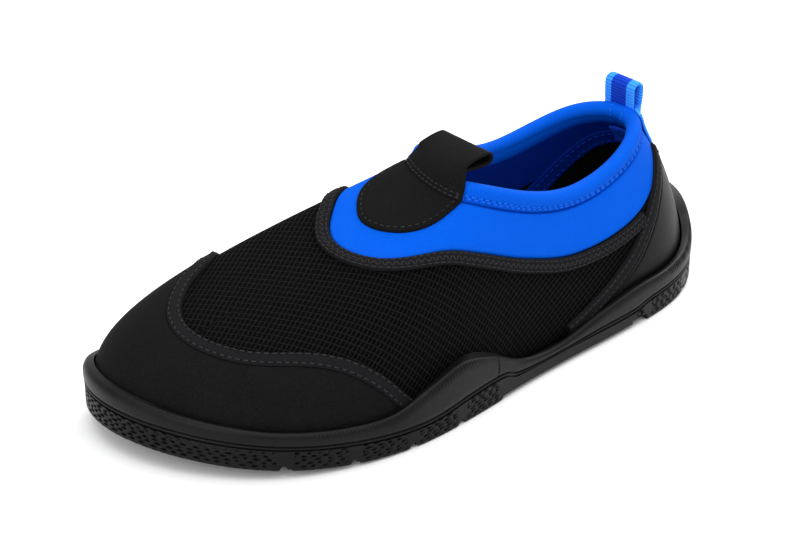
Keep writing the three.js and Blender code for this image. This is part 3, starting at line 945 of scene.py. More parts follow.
@dataclass
class Finishes:
    """Every finish on the shoe, made once."""

    rubber: bpy.types.Material = field(init=False)

    def __post_init__(self) -> None:
        """Makes the materials."""
        self.rubber = Smooth("090909", "101010", 0.9, 0.06, 0.4, 0.13).material("moulded_rubber")
        self.suede = Suede().material("napped_synthetic")
        self.satin = Smooth("070708", "0c0c0c", 0.7, 0.03, 0.42, 0.08).material("coated_synthetic")
        self.mesh = OpenMesh().material("open_mesh")
        self.tape = Tape().material("edge_tape")
        self.jersey = Jersey().material("blue_jersey")
        # Darker copy of the blue jersey for inside the shoe: painted shade
        self.inner_jersey_painted_shade = Jersey("001c70", "002c92").material("inner_jersey_painted_shade")
        self.webbing = Grosgrain().material("ribbed_webbing")
        # Darker copy of the webbing, its pale edges lost, for the end inside the heel: painted shade
        self.inner_webbing_painted_shade = Grosgrain("0535a0", "0840b4", "031f66", "042a7c").material("inner_webbing_painted_shade")
        self.lining = Jersey("070708", "151517", 0.8, 0.06, 0.85).material("dark_lining")
        self.foam = Fibre().material("footbed_foam")
        self.board = Fibre("4c463c", "6f675a").material("fibre_board")
        self.dark_thread = Thread("161617", "3a3a3d").material("dark_thread")
        self.blue_thread = Thread("0050d0", "1f7af2").material("blue_thread")
        # Darker copy of the blue thread for inside the heel: painted shade
        self.inner_thread_painted_shade = Thread("001c70", "0a3cb0").material("inner_thread_painted_shade")
        # Near-black and dark-blue marks set between stitches: painted shade of the needle pits
        self.needle_pit_shade_dark = Thread("010102", "050506").material("dark_needle_pit_shade")
        self.needle_pit_shade_blue = Thread("002878", "003590").material("blue_needle_pit_shade")


# ---------------------------------------------------------------- stitching


@dataclass
class Stitches:
    """Stitches laid in rows, each a low-poly capsule half sunk into the cloth."""

    length: float = 2.2
    gap: float = 1.0
    radius: float = 0.3
    sides: int = 6
    centres: list[Array] = field(default_factory=list)
    axes: list[Array] = field(default_factory=list)
    normals: list[Array] = field(default_factory=list)

    def row(
        self, points: Array, normals: Array, slant: float = 0.0, wander: float = 0.0, phase: float = 0.5
    ) -> None:
        """Lays stitches at equal steps along a line.

        Args:
            points: the line, (n, 3).
            normals: the cloth's normals along it.
            slant: turn of every second stitch about the normal, in radians; the rest turn back.
            wander: sideways play of the needle.
            phase: where in its step each stitch sits; 0 puts it between the others.
        """
        walk = np.concatenate([[0], np.cumsum(np.linalg.norm(np.diff(points, axis=0), axis=1))])
        step = self.length + self.gap
        count = max(int(walk[-1] / step), 1)
        at = (np.arange(count) + phase) * walk[-1] / count
        centre = np.stack([np.interp(at, walk, points[:, k]) for k in range(3)], 1)
        ahead = np.stack([np.interp(at + 0.4, walk, points[:, k]) for k in range(3)], 1)
        back = np.stack([np.interp(at - 0.4, walk, points[:, k]) for k in range(3)], 1)
        normal = unit(np.stack([np.interp(at, walk, normals[:, k]) for k in range(3)], 1))
        along = unit(ahead - back)
        side = np.cross(normal, along)
        turn = slant * (1 - 2 * (np.arange(count) % 2))[:, None]
        play = np.random.default_rng(count).normal(0, 1, (count, 1))
        self.centres.append(centre + side * play * wander)
        self.axes.append(along * np.cos(turn + play * 0.03) + side * np.sin(turn + play * 0.03))
        self.normals.append(normal)

    def build(self, name: str) -> bpy.types.Object:
        """Makes all the stitches as one mesh: rings of a spindle carried to every centre."""
        centres, axes, normals = (np.concatenate(a) for a in (self.centres, self.axes, self.normals))
        side = np.cross(normals, axes)
        t = np.array([-1, -0.8, -0.3, 0.3, 0.8, 1.0])
        girths = np.array([0.25, 0.75, 1.0, 1.0, 0.75, 0.25]) * self.radius
        angle = np.arange(self.sides) / self.sides * 2 * np.pi
        sink = (1 - t**2) * self.radius * 0.55 - self.radius * 0.35
        along = axes[:, None, None] * (t * self.length / 2)[None, :, None, None]
        lift = normals[:, None, None] * (sink[:, None] + girths[:, None] * np.cos(angle))[None, :, :, None]
        wide = side[:, None, None] * (girths[:, None] * np.sin(angle))[None, :, :, None]
        rings = centres[:, None, None] + along + lift + wide
        n, k, m = rings.shape[:3]
        number = np.arange(n * k * m).reshape(n, k, m)
        following = np.roll(number, -1, axis=2)
        quads = np.stack([number[:, :-1], number[:, 1:], following[:, 1:], following[:, :-1]], -1)
        first = number[:, 0][:, [[0, 1, 2, 3], [0, 3, 4, 5]]]
        last = number[:, -1][:, [[3, 2, 1, 0], [5, 4, 3, 0]]]
        maker = MeshMaker()
        maker.points.append(rings.reshape(-1, 3))
        maker.faces.append(np.concatenate([quads.reshape(-1, 4), first.reshape(-1, 4), last.reshape(-1, 4)]))
        maker.uvs.append(np.zeros((len(maker.faces[0]), 4, 2)))
        return maker.build(name, 80)


def on_skin(u: Array, b: Array, offset: Array | float) -> tuple[Array, Array]:
    """Points at a distance out from the upper, and the normals there."""
    point, _, _, normal = LAST.frame_at(u, b)
    return point + normal * np.broadcast_to(np.asarray(offset, float), u.shape)[..., None], normal


# ---------------------------------------------------------------- seams of the upper

SEAM_GAP = 0.3
RIM_LEG = 4.7
TRIM_WIDTH = 5.5
TAPE_WIDTH = 5.5
INNER_TAPE_WIDTH = 8.5


def heel_panel_edge(u: Array) -> Array:
    """Top edge of the heel panel, below the sole away from the heel."""
    return HEEL_PANEL_EDGE(near_heel(u))


def above(edge: Callable[[Array], Array], distance: float) -> Callable[[Array], Array]:
    """An edge moved up the section, resting on the sole where it has run out."""
    return lambda u: LAST.up(u, np.maximum(edge(u), 0), distance)


def band_top(edge: Callable[[Array], Array], width: float) -> Callable[[Array], Array]:
    """Top of a tape on an edge, and the sole's level where there is none."""
    return lambda u: np.where(edge(u) > 0, LAST.up(u, np.maximum(edge(u), 0), width), 0.0)


def rim_edge(u: Array) -> Array:
    """Where the rim's outer leg ends."""
    return LAST.up(u, 1.0, -(RIM_LEG + SEAM_GAP))


def heel_lining_edge(u: Array) -> Array:
    """Top edge of the heel lining."""
    return HEEL_LINING_EDGE(near_heel(u))


def vamp_low(u: Array) -> Array:
    """Lower edge of the mesh: the toe cap, the heel panel, or the sole."""
    edge = np.maximum(TOE_CAP_EDGE(u), heel_panel_edge(u))
    return np.where(edge > 0.02, LAST.up(u, np.maximum(edge, 0), SEAM_GAP), 0.0)


def above_inner_tape(u: Array) -> Array:
    """Just over the tape on the heel lining."""
    top = band_top(heel_lining_edge, INNER_TAPE_WIDTH)(u)
    return np.where(top > 0, LAST.up(u, top, SEAM_GAP), 0.0)


# ---------------------------------------------------------------- sole


@dataclass
class Sole:
    """Rubber unit: a ground layer with pods and pitted sides, and a cup with a beaded rim."""

    columns: int = 1250
    cup_columns: int = 2200
    tread_top: float = 6.0
    cup_bottom: float = 6.05
    cup_floor: float = 7.7
    wall_clearance: float = 2.5
    middle: tuple[float, float] = (0.0, 5.0)
    arch: tuple[float, float, float] = (-77, 3, 1.5)
    notch: tuple[float, float, float] = (-87, -77, 3)
    flex: tuple[float, ...] = (27, 52, 77, 102, -117)
    flex_half: float = 1.5
    flex_depth: float = 2.0
    soft: float = 0.5
    pit_pitch: float = 4.4
    pit_rows: float = 1.45
    pit_depth: float = 0.75
    seams: tuple[float, ...] = (369.0, 175.0)
    seam_depth: float = 0.45

    def lift(self, x: Array) -> Array:
        """Height that the ground layer's cuts raise its underside to, soft at their edges."""
        height = np.zeros_like(x)
        for low, high, depth in (self.arch, self.notch):
            inside = smooth_step(low - self.soft, low + self.soft, x)
            inside = inside - smooth_step(high - self.soft, high + self.soft, x)
            height = np.maximum(height, inside * depth)
        for at in self.flex:
            inside = 1 - smooth_step(self.flex_half - self.soft, self.flex_half + self.soft, np.abs(x - at))
            height = np.maximum(height, inside * self.flex_depth)
        return height

    def arc(self, u: Array) -> Array:
        """Distance round the outline from the heel."""
        fine = np.linspace(0, 1, 2001)
        walk = np.linalg.norm(np.diff(closed_spline(LAST.sole_plan, fine), axis=0), axis=1)
        return np.interp(u, fine, np.concatenate([[0], np.cumsum(walk)]))

    def pits(self, s: Array, height: Array) -> Array:
        """Share of pit depth on the ground layer's side: slanting dashes in staggered rows.

        Args:
            s: distance round the outline.
            height: height above the sole's ground side.

        Returns:
            0 on the face and 1 at the bottom of a pit.
        """
        row = np.floor(height / self.pit_rows)
        across = np.abs(height / self.pit_rows - row - 0.5) * 2
        slanted = s + height * 0.9 + row * self.pit_pitch * 0.37
        wobble = 0.5 * np.sin(s * 0.37 + row * 2.1) + 0.4 * np.sin(s * 0.11 + row * 4.0)
        along = np.abs(np.mod((slanted + wobble) / self.pit_pitch, 1.0) - 0.5) * 2
        return (1 - smooth_step(0.3, 0.62, along)) * (1 - smooth_step(0.35, 0.85, across))

    def tread(self, finish: bpy.types.Material) -> bpy.types.Object:
        """Makes the ground layer: rings from the middle of its underside out, up and back in."""
        u = np.arange(self.columns) / self.columns
        s = self.arc(u)
        solid_arc = np.zeros_like(u)
        rings = []
        centre = np.array([*self.middle, 0.0])
        edge = LAST.outline(u, 20, 0)
        for share in (0.15, 0.3, 0.45, 0.6, 0.75, 0.9):
            ring = centre + (edge - centre) * share
            ring[:, 2] = LAST.spring(ring[:, 0]) + self.lift(ring[:, 0])
            rings.append(ring)
        grooves = ((14.0, 13.4, 12.2, 11.6), (8.0, 7.4, 6.2, 5.6))
        insets = [20, 17, 14.6, *grooves[0], 10.5, 8.6, *grooves[1], 4.4, 3.2, 2.2]
        sunk = {13.4, 12.2, 7.4, 6.2}
        for inset in insets:
            ring = LAST.outline(u, inset, 0)
            sipe = 1 - smooth_step(0.5, 1.1, np.abs(np.mod(s, 8.0) - 4.0))
            depth = 1.0 if inset in sunk else 0.8 * sipe * (5 < inset < 15)
            pod = self.lift(ring[:, 0])
            ring[:, 2] += np.maximum(pod, depth * (pod < 0.2))
            rings.append(ring)
        for height in np.array([0, 0.12, 0.45, *np.linspace(0.9, self.tread_top, 22)]):
            cut = np.minimum(self.lift(closed_spline(LAST.sole_plan, u)[:, 0]), 4)
            up = cut + height / self.tread_top * (self.tread_top - cut)
            round_ = 1.2 * (1 - rounded(np.array(height), 0.9)) + 0.35
            band = smooth_step(0.7, 1.1, np.array(height))
            x = closed_spline(LAST.sole_plan, u)[:, 0]
            plain = smooth_step(-77, -72, x) * (1 - smooth_step(0, 5, x)) + solid_arc
            near_cut = self.near_cut(x)
            pit = self.pits(s, np.full_like(s, height)) * band * (1 - plain) * (1 - near_cut)
            rings.append(LAST.outline(u, round_ + self.pit_depth * pit, up))
        rings.append(LAST.outline(u, 4, self.tread_top))
        rings.append(LAST.outline(u, 18, self.tread_top))
        maker = MeshMaker()
        numbers = maker.grid(np.stack(rings, 1), round_=True)
        maker.cap(numbers[:, 0], centre + [0, 0, self.arch[2]], flip=False)
        maker.cap(numbers[:, -1], [*self.middle, self.tread_top], flip=True)
        piece = maker.build("tread_rubber", 38)
        return fit_out(piece, finish, stands_for=("outsole_tread",))

    def pit_top(self, x: Array, y: Array) -> Array:
        """Height above the ground side of the groove between the pitted side and the smooth wall."""
        curve = Curve((
            (-145, 9.5), (-118, 9.0), (-98, 8.6), (-88, 8.2), (-78, 6.6), (-40, 6.5), (-6, 7.0), (1, 9.6),
            (20, 9.6), (40, 7.6), (58, 7.4), (80, 8.2), (110, 8.8), (140, 9.2),
        ))
        return curve(x) + 0 * y

    def near_cut(self, x: Array) -> Array:
        """1 beside a flex groove or a pod's end, where the side is smooth."""
        edges = np.array([*self.flex, self.arch[0], self.arch[1], self.notch[0]])
        gap = np.min(np.abs(x[:, None] - edges), axis=1)
        return 1 - smooth_step(2.4, 3.4, gap)

    def cup(self, finish: bpy.types.Material) -> bpy.types.Object:
        """Makes the cup: its wall stands between the ground layer and a rounded, ribbed bead."""
        u = np.arange(self.cup_columns) / self.cup_columns
        s = self.arc(u)
        plan = closed_spline(LAST.sole_plan, u)
        x = plan[:, 0]
        top = WALL_HEIGHT(x)
        foot = LAST.spring(x) + self.cup_bottom
        tall = top - foot
        step = np.minimum(self.pit_top(x, plan[:, 1]) + LAST.spring(x) - foot, tall * 0.5)
        ribbed = smooth_step(14, 22, x) * (1 - smooth_step(88, 100, x)) * (0.55 + 0.45 * smooth_step(28, 40, x))
        ribbed = np.maximum(ribbed, (1 - smooth_step(-106, -98, x)) * 0.8)
        ribs = ribbed * (0.5 + 0.5 * np.cos(2 * np.pi * s / 1.55)) * (0.75 + 0.25 * np.sin(s * 0.9))
        plain = np.maximum(smooth_step(-79, -74, x) * (1 - smooth_step(0, 4, x)), self.near_cut(x))
        pod = 1 - smooth_step(-2, 1.5, x) + smooth_step(-74, -78, x)
        seam = np.exp(-((np.abs(s[:, None] - np.array(self.seams)).min(1) / 0.4) ** 2)) * self.seam_depth
        rings = []
        centre = np.array([*self.middle, self.cup_bottom])
        edge = LAST.outline(u, 18, self.cup_bottom)
        for share in (0.5, 1.0):
            ring = centre + (edge - centre) * share
            ring[:, 2] = LAST.spring(ring[:, 0]) + self.cup_bottom
            rings.append(ring)
        rings.append(LAST.outline(u, 3, self.cup_bottom))
        del pod
        for t in np.concatenate([[0.0], np.linspace(0.08, 0.9, 8), [1.0]]):
            pit = self.pits(s, self.tread_top + 0.3 + step * t) * (1 - plain) * (step > 0.8) * (0.05 < t < 0.95)
            point = LAST.outline(u, 0.35 + self.pit_depth * pit, 0)
            point[:, 2] = foot + step * t
            rings.append(point)
        rise = tall - step
        lip = np.minimum(1.0, rise * 0.12)
        for height, inset in ((0.06, 1.15), (0.5, 1.25), (0.75, 0.55), (1.0, 0.3), (1.35, 0.3), (1.6, 0.55), (1.8, 0.95), (2.1, 0.95)):
            point = LAST.outline(u, inset, 0)
            point[:, 2] = foot + step + lip * height
            rings.append(point)
        start = foot + step + lip * 2.1
        face = top - start
        crown = np.minimum(3.6, face * 0.5)
        for t in np.linspace(0.06, 1.0, 7):
            body = rounded(np.array(t) * (face - crown), 1.5)
            point = LAST.outline(u, 0.95 - 0.85 * body + seam, 0)
            point[:, 2] = start + (face - crown) * t
            rings.append(point)
        for angle in np.radians(np.linspace(9, 90, 10)):
            out = np.cos(angle)
            dent = ribs * 0.34 * np.clip(np.sin(2 * angle), 0, 1)
            point = LAST.outline(u, 0.1 + 2.2 * (1 - out) + dent + seam * out, 0)
            point[:, 2] = start + (face - crown) + crown * np.sin(angle) - dent * 0.5
            rings.append(point)
        inner_top = top - 0.9
        b_top = self.height_to_b(u, inner_top)
        for share in (1.0, 0.5, 0.02):
            rings.append(LAST.place(u, b_top * share, self.wall_clearance))
        low = LAST.place(u, np.zeros_like(u), self.wall_clearance)
        low[:, 2] = LAST.spring(low[:, 0]) + self.cup_floor
        floor_middle = np.array([*self.middle, self.cup_floor])
        for share in (1.0, 0.5):
            ring = floor_middle + (low - floor_middle) * share
            ring[:, 2] = LAST.spring(ring[:, 0]) + self.cup_floor
            rings.append(ring)
        maker = MeshMaker()
        numbers = maker.grid(np.stack(rings, 1), round_=True)
        maker.cap(numbers[:, 0], centre, flip=False)
        maker.cap(numbers[:, -1], floor_middle, flip=True)
        piece = maker.build("cup_rubber", 50)
        return fit_out(piece, finish, stands_for=("sole_cup",))

    def height_to_b(self, u: Array, z: Array) -> Array:
        """The b where the upper passes a height, by halving an interval."""
        low, high = np.zeros_like(u), np.full_like(u, 0.6)
        for _ in range(24):
            middle = (low + high) / 2
            below = LAST.skin(u, middle)[:, 2] < z
            low, high = np.where(below, middle, low), np.where(below, high, middle)
        return low

    def build(self, finishes: Finishes) -> None:
        """Builds and dresses the rubber parts."""
        self.tread(finishes.rubber)
        self.cup(finishes.rubber)


# ---------------------------------------------------------------- upper


@dataclass
class ToeCap:
    """Napped cap over the toes and the stitched tape on its edge."""

    span: tuple[float, float] = (0.34, 0.71)
    rows_at: tuple[float, float] = (1.1, 4.5)

    def tape_line(self) -> tuple[Array, Array]:
        """Places along the cap's edge."""
        u = np.linspace(self.span[0] + 0.006, self.span[1] - 0.006, 500)
        b = TOE_CAP_EDGE(u)
        keep = b > 0.0
        return u[keep], b[keep]

    def build(self, finishes: Finishes) -> None:
        """Makes the cap, its tape and two rows of stitches."""
        cap = Panel(lambda u: 0 * u, TOE_CAP_EDGE, 0.35, 1.7, self.span, 420, 26, 0.9).build("toe_cap_suede")
        fit_out(cap, finishes.suede, stands_for=("toe_cap",))
        u, b = self.tape_line()
        strip = Ribbon(u, b, TAPE_WIDTH, 0.3, 2.0, start=SEAM_GAP - 0.5)
        fit_out(strip.build("toe_tape", 0.15), finishes.tape, stands_for=("toe_binding",))
        rows = Stitches(2.1, 0.9, 0.26)
        # Dark marks between the stitches: painted shade of the needle pits
        needle_shade = Stitches(0.9, 2.1, 0.34)
        for at in self.rows_at:
            points, normals = strip.line(at, 2.1)
            rows.row(points, normals, wander=0.04)
            needle_shade.row(*strip.line(at, 2.0), phase=0.0)
        fit_out(rows.build("toe_tape_stitches"), finishes.dark_thread)
        fit_out(needle_shade.build("toe_tape_needle_pit_shade"), finishes.needle_pit_shade_dark)


@dataclass
class HeelCounter:
    """Smooth heel panel with a stitched tape up each side."""

    span: tuple[float, float] = (-0.25, 0.25)

    def build(self, finishes: Finishes) -> None:
        """Makes the panel, both tapes and their stitches."""
        panel = Panel(
            lambda u: 0 * u, heel_panel_edge, 0.35, 1.7, self.span, 420, 26, 0.9, creases=((-2.2, 0.25, 0.3),)
        )
        fit_out(panel.build("heel_panel_skin"), finishes.satin, stands_for=("heel_panel",))
        rows = Stitches(2.0, 0.9, 0.24)
        for name, node, low, high in (
            ("heel_tape_outer", "counter_binding_outer", 0.045, 0.222),
            ("heel_tape_inner", "counter_binding_inner", -0.222, -0.045),
        ):
            u = np.linspace(low, high, 260)
            strip = Ribbon(u, np.maximum(heel_panel_edge(u), 0.0), TAPE_WIDTH - 0.3, 0.4, 2.1, start=-0.3)
            fit_out(strip.build(name, 0.15), finishes.tape, stands_for=(node,))
            for at in (0.8, 4.0):
                rows.row(*strip.line(at, 2.2), wander=0.04)
        fit_out(rows.build("heel_tape_stitches"), finishes.dark_thread)


@dataclass
class Vamp:
    """Open mesh between the toe cap, the collar and the heel."""

    span: tuple[float, float] = (0.06, 0.94)

    def build(self, finishes: Finishes) -> None:
        """Makes the mesh panel."""
        panel = Panel(vamp_low, lambda u: LAST.up(u, COLLAR_EDGE(u), -SEAM_GAP), -2.5, 0.0, self.span, 520, 44)
        fit_out(panel.build("vamp_open_mesh"), finishes.mesh, stands_for=("mesh_vamp",))


@dataclass
class Collar:
    """Neoprene collar, its rolled rim, and the overlocked trim at its lower edge."""

    trim_span: tuple[float, float] = (0.06, 0.94)
    radius: float = 3.4
    columns: int = 1100
    bulge: float = 0.35

    def rim(self) -> bpy.types.Object:
        """Makes the rim: a leg on each side and a round roll, with small puckers at its seam."""
        u = np.arange(self.columns) / self.columns
        angle = np.linspace(0, np.pi, 17)
        roll = np.stack([-self.radius * np.sin(angle), self.radius * np.cos(angle) - 0.4], 1)
        outer = [(4.7, 0.35), (4.65, 0.75), (4.4, 1.1), (4.15, 0.95), (3.95, 0.9), (3.7, 1.1), (3.4, 1.35),
                 (3.15, 1.25), (2.95, 1.25), (2.7, 1.45), (2.35, 1.75), (1.8, 2.15), (1.2, 2.5), (0.6, 2.85)]
        inner = [(0.8, -3.85), (1.8, -4.15), (3.8, -4.1), (5.8, -4.0), (6.2, -3.6)]
        profile = np.array([*outer, *roll, *inner])
        plan = closed_spline(LAST.sole_plan, u)
        walk = np.linspace(0, 1, self.columns) * 310
        pucker = 0.5 * np.sin(walk * 2.05) + 0.35 * np.sin(walk * 0.83 + 1) + 0.3 * np.sin(walk * 4.3)
        near_seam = np.exp(-(((profile[:, 0] - 2.6) / 1.3) ** 2)) * (profile[:, 1] > 0)
        offset = profile[:, 1] + 0.10 * pucker[:, None] * near_seam
        folds = np.exp(-(((np.mod(u - 0.585 + 0.5, 1) - 0.5) / 0.006) ** 2))
        folds += np.exp(-((near_heel(u) - 0.012) / 0.006) ** 2) * 0.7
        offset = offset + 0.55 * folds[:, None] * np.sign(profile[:, 1]) * (np.abs(profile[:, 0]) < 5)
        points = LAST.from_top(u[:, None], profile[:, 0], offset)
        uv = np.stack(np.broadcast_arrays(walk[:, None] * 1.0, np.cumsum(np.ones(len(profile)))[None] * 0.8), -1)
        uv = np.concatenate([uv, uv[:1] + [310, 0]], 0)
        uv = np.concatenate([uv, uv[:, :1]], 1)
        maker = MeshMaker()
        maker.grid(points, uv, round_=True, loop=True)
        del plan
        return maker.build("collar_rolled_rim", 60)

    def build(self, finishes: Finishes) -> None:
        """Makes the collar's pieces and their stitches."""
        sheet = Panel(COLLAR_EDGE, rim_edge, -2.5, self.bulge, None, 640, 26, 1.4, creases=((-0.2, 0.2, 0.5),))
        fit_out(sheet.build("collar_sheet"), finishes.jersey, stands_for=("neoprene_collar",))
        fit_out(self.rim(), finishes.jersey, stands_for=("collar_rim",))
        u = np.arange(900) / 900
        # Blue-black marks between the rim's stitches: painted shade of the needle pits
        rows, needle_shade = Stitches(2.0, 1.0, 0.24), Stitches(0.8, 2.2, 0.24)
        for below, offset in ((2.98, 1.33), (4.0, 1.0)):
            points = LAST.from_top(u, np.full_like(u, below), offset)
            _, _, _, normal = LAST.frame_at(u, LAST.up(u, 1.0, -below))
            line = np.concatenate([points, points[:1]]), np.concatenate([normal, normal[:1]])
            rows.row(*line, wander=0.05)
            needle_shade.row(*line, phase=0.0)
        bars = Stitches(1.7, 0.5, 0.24)
        roll = np.radians(np.linspace(15, 165, 40))
        for at in (-0.014, 0.014, 0.5795, 0.5875):
            place = np.full_like(roll, at)
            reach = self.radius + 0.15
            across = LAST.from_top(place, -reach * np.sin(roll), reach * np.cos(roll) - 0.4)
            bars.row(across, unit(across - LAST.place(place, 1.0, -0.4)), slant=0.3, wander=0.05)
        fit_out(rows.build("rim_stitches"), finishes.blue_thread)
        fit_out(needle_shade.build("rim_needle_pit_shade"), finishes.needle_pit_shade_blue)
        fit_out(bars.build("rim_bar_stitches"), finishes.blue_thread)
        self.trim(finishes)

    def trim(self, finishes: Finishes) -> None:
        """Makes the trim band and its overlock and edge rows."""
        tape_top = band_top(heel_panel_edge, TAPE_WIDTH)
        u = np.linspace(*self.trim_span, 640)
        keep = LAST.up(u, COLLAR_EDGE(u), -TRIM_WIDTH * 0.5) > tape_top(u)
        u = u[keep]
        strip = Ribbon(u, COLLAR_EDGE(u), TRIM_WIDTH + 0.3, 0.3, 1.75, start=-TRIM_WIDTH)
        fit_out(strip.build("collar_trim_tape", 0.2), finishes.tape, stands_for=("collar_trim",))
        edge = Stitches(1.9, 0.8, 0.24)
        edge.row(*strip.line(-TRIM_WIDTH + 0.9, 1.85), wander=0.04)
        edge.row(*strip.line(-0.7, 1.85), wander=0.04)
        zigzag = Stitches(2.3, -0.9, 0.22)
        zigzag.row(*strip.line(-TRIM_WIDTH / 2, 2.0), slant=0.95, wander=0.05)
        fit_out(edge.build("trim_edge_stitches"), finishes.dark_thread)
        fit_out(zigzag.build("trim_overlock"), finishes.dark_thread)


@dataclass
class TonguePatch:
    """Rounded patch on the front of the collar, and the folded tab sewn over the rim."""

    span: tuple[float, float] = (0.34, 0.6)
    tab_span: tuple[float, float] = (0.355, 0.58)
    root_above: float = 4.0
    root_out: float = 4.4
    length: float = 17.0
    thick: float = 1.3
    slope: float = 5.0
    mouth: float = 5.6
    reach: tuple[float, float] = (-9.5, 19.5)

    def patch_top(self, u: Array) -> Array:
        """Upper edge of the patch, tucked under the tab's band."""
        return LAST.up(u, 1.0, -(RIM_LEG + 0.3))

    def fold(self) -> bpy.types.Object:
        """Makes the tab: a strip that climbs the rim, runs back, folds round and returns."""
        across = np.linspace(0, 1, 60)
        u = self.tab_span[0] + (self.tab_span[1] - self.tab_span[0]) * across
        climb = [(5.9, 1.6), (5.2, 1.95), (4.2, 2.4), (3.0, 2.85), (1.7, 3.5), (0.4, 4.1), (-1.0, 4.6), (-2.2, 4.95)]
        band = LAST.from_top(u[None, :], np.array(climb)[:, :1], np.array(climb)[:, 1:])
        root = LAST.from_top(np.array(0.5), -self.root_above, self.root_out)
        y = self.reach[1] + (self.reach[0] - self.reach[1]) * across
        lean = math.radians(90 - self.slope)
        ahead = np.array([-math.sin(lean), math.cos(lean)])
        upward = np.array([math.cos(lean), math.sin(lean)])
        half = self.mouth / 2
        t = np.linspace(0, 1, 12)
        middle = self.length - half - self.thick
        top = np.stack([middle * t, 0.9 + (half - 0.9 - self.thick / 2) * smooth_step(0, 0.75, t)], 1)
        end = np.radians(np.linspace(75, -90, 12))
        radius = half - self.thick / 2
        turn = np.stack([middle + radius * np.cos(end) * 1.15, radius * np.sin(end)], 1)
        back = top[::-1][1:] * [1, -1]
        way = np.concatenate([top[1:], turn, back])
        flat = way[:, :1] * ahead + way[:, 1:] * upward
        tab = np.zeros((len(way), len(across), 3))
        tab[..., 0] = root[0] + flat[:, :1]
        tab[..., 1] = y
        tab[..., 2] = root[2] + flat[:, 1:]
        sheet = np.concatenate([band, tab])
        weight = smooth_step(0, 6, np.arange(len(sheet)) - (len(band) - 3.0))[:, None]
        sheet[..., 1] = sheet[..., 1] * (1 - weight) + y * weight
        smooth = sheet.copy()
        for _ in range(2):
            smooth[1:-1] = (smooth[:-2] + 2 * smooth[1:-1] + smooth[2:]) / 4
        return strip_shell(smooth, self.thick, "tab_fold", True)

    def build(self, finishes: Finishes) -> None:
        """Makes the patch, the tab and their stitches."""
        patch = Panel(
            PATCH_EDGE, self.patch_top, 0.4, 1.9, self.span, 360, 26, 1.3, 0.006, creases=((1.9, 0.35, 0.45),)
        )
        fit_out(patch.build("tongue_patch_suede"), finishes.suede, stands_for=("tongue_patch",))
        u = np.linspace(self.span[0] + 0.012, self.span[1] - 0.014, 300)
        edge_u, edge_b = LAST.beside(u, PATCH_EDGE(u), 1.9)
        keep = edge_b < self.patch_top(edge_u) - 0.004
        rows = Stitches(1.9, 0.9, 0.25)
        # Dark marks between the stitches: painted shade of the needle pits
        needle_shade = Stitches(0.9, 1.9, 0.32)
        rows.row(*on_skin(edge_u[keep], edge_b[keep], 1.72), wander=0.03)
        needle_shade.row(*on_skin(edge_u[keep], edge_b[keep], 1.66), phase=0.0)
        fit_out(rows.build("patch_stitches"), finishes.dark_thread)
        fit_out(needle_shade.build("patch_needle_pit_shade"), finishes.needle_pit_shade_dark)
        band = Stitches(1.7, 0.75, 0.25)
        low, high = self.tab_span[0] + 0.006, self.tab_span[1] - 0.006
        cross = 0.012
        lines = [((low, 5.4), (high, 5.4)), ((low, 3.9), (high, 3.9))]
        for end, way in ((low, 1), (high, -1)):
            lines += [((end, 5.9), (end + way * cross, 3.4)), ((end, 3.4), (end + way * cross, 5.9))]
        for (u0, d0), (u1, d1) in lines:
            line_u, line_d = np.linspace(u0, u1, 160), np.linspace(d0, d1, 160)
            lie = np.interp(line_d, [3.0, 4.2, 5.2, 6.0], [3.6, 3.15, 2.7, 2.35])
            points = LAST.from_top(line_u, line_d, lie)
            band.row(points, LAST.frame_at(line_u, LAST.up(line_u, 1.0, -line_d))[3], wander=0.04)
        fit_out(band.build("tab_band_stitches"), finishes.dark_thread)
        tab = self.fold()
        fit_out(tab, finishes.suede, None, ("front_tab", "tab_band"))
        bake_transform(tab)


def strip_shell(sheet: Array, thick: float, name: str, flip: bool = False, ribs: Array | float = 0.0) -> bpy.types.Object:
    """A strip of even thickness about a sheet of points, with softened edges.

    Args:
        sheet: points, (stations along, places across, 3).
        thick: thickness.
        name: the piece's name.
        flip: whether the cross product of along and across points inwards.
        ribs: extra height on both faces, broadcast over the sheet.

    Returns:
        The object.
    """
    along, across = np.gradient(sheet, axis=0), np.gradient(sheet, axis=1)
    normal = unit(np.cross(along, across)) * (-1 if flip else 1)
    walk = np.linalg.norm(np.diff(sheet[:, sheet.shape[1] // 2], axis=0), axis=1)
    walk = np.concatenate([[0], np.cumsum(walk)])
    width = np.linalg.norm(np.diff(sheet[len(sheet) // 2], axis=0), axis=1)
    width = np.concatenate([[0], np.cumsum(width)])
    soft = rounded(width, 0.5) * rounded(width[-1] - width, 0.5)
    half = thick / 2 * (0.35 + 0.65 * soft)[None, :, None] + np.broadcast_to(np.asarray(ribs, float), sheet.shape[:2])[..., None]
    front, back = sheet + normal * half, sheet - normal * half
    loops = np.concatenate([front, back[:, ::-1]], 1)
    uv = np.stack(np.broadcast_arrays(walk[:, None], np.concatenate([width, width[::-1]])[None]), -1)
    uv = np.concatenate([uv, uv[:, :1]], 1)
    if flip:
        loops, uv = loops[:, ::-1], uv[:, ::-1]
    maker = MeshMaker()
    numbers = maker.grid(loops[::-1] if not flip else loops[::-1], uv[::-1], loop=True)
    maker.ends(numbers)
    return maker.build(name, 50)


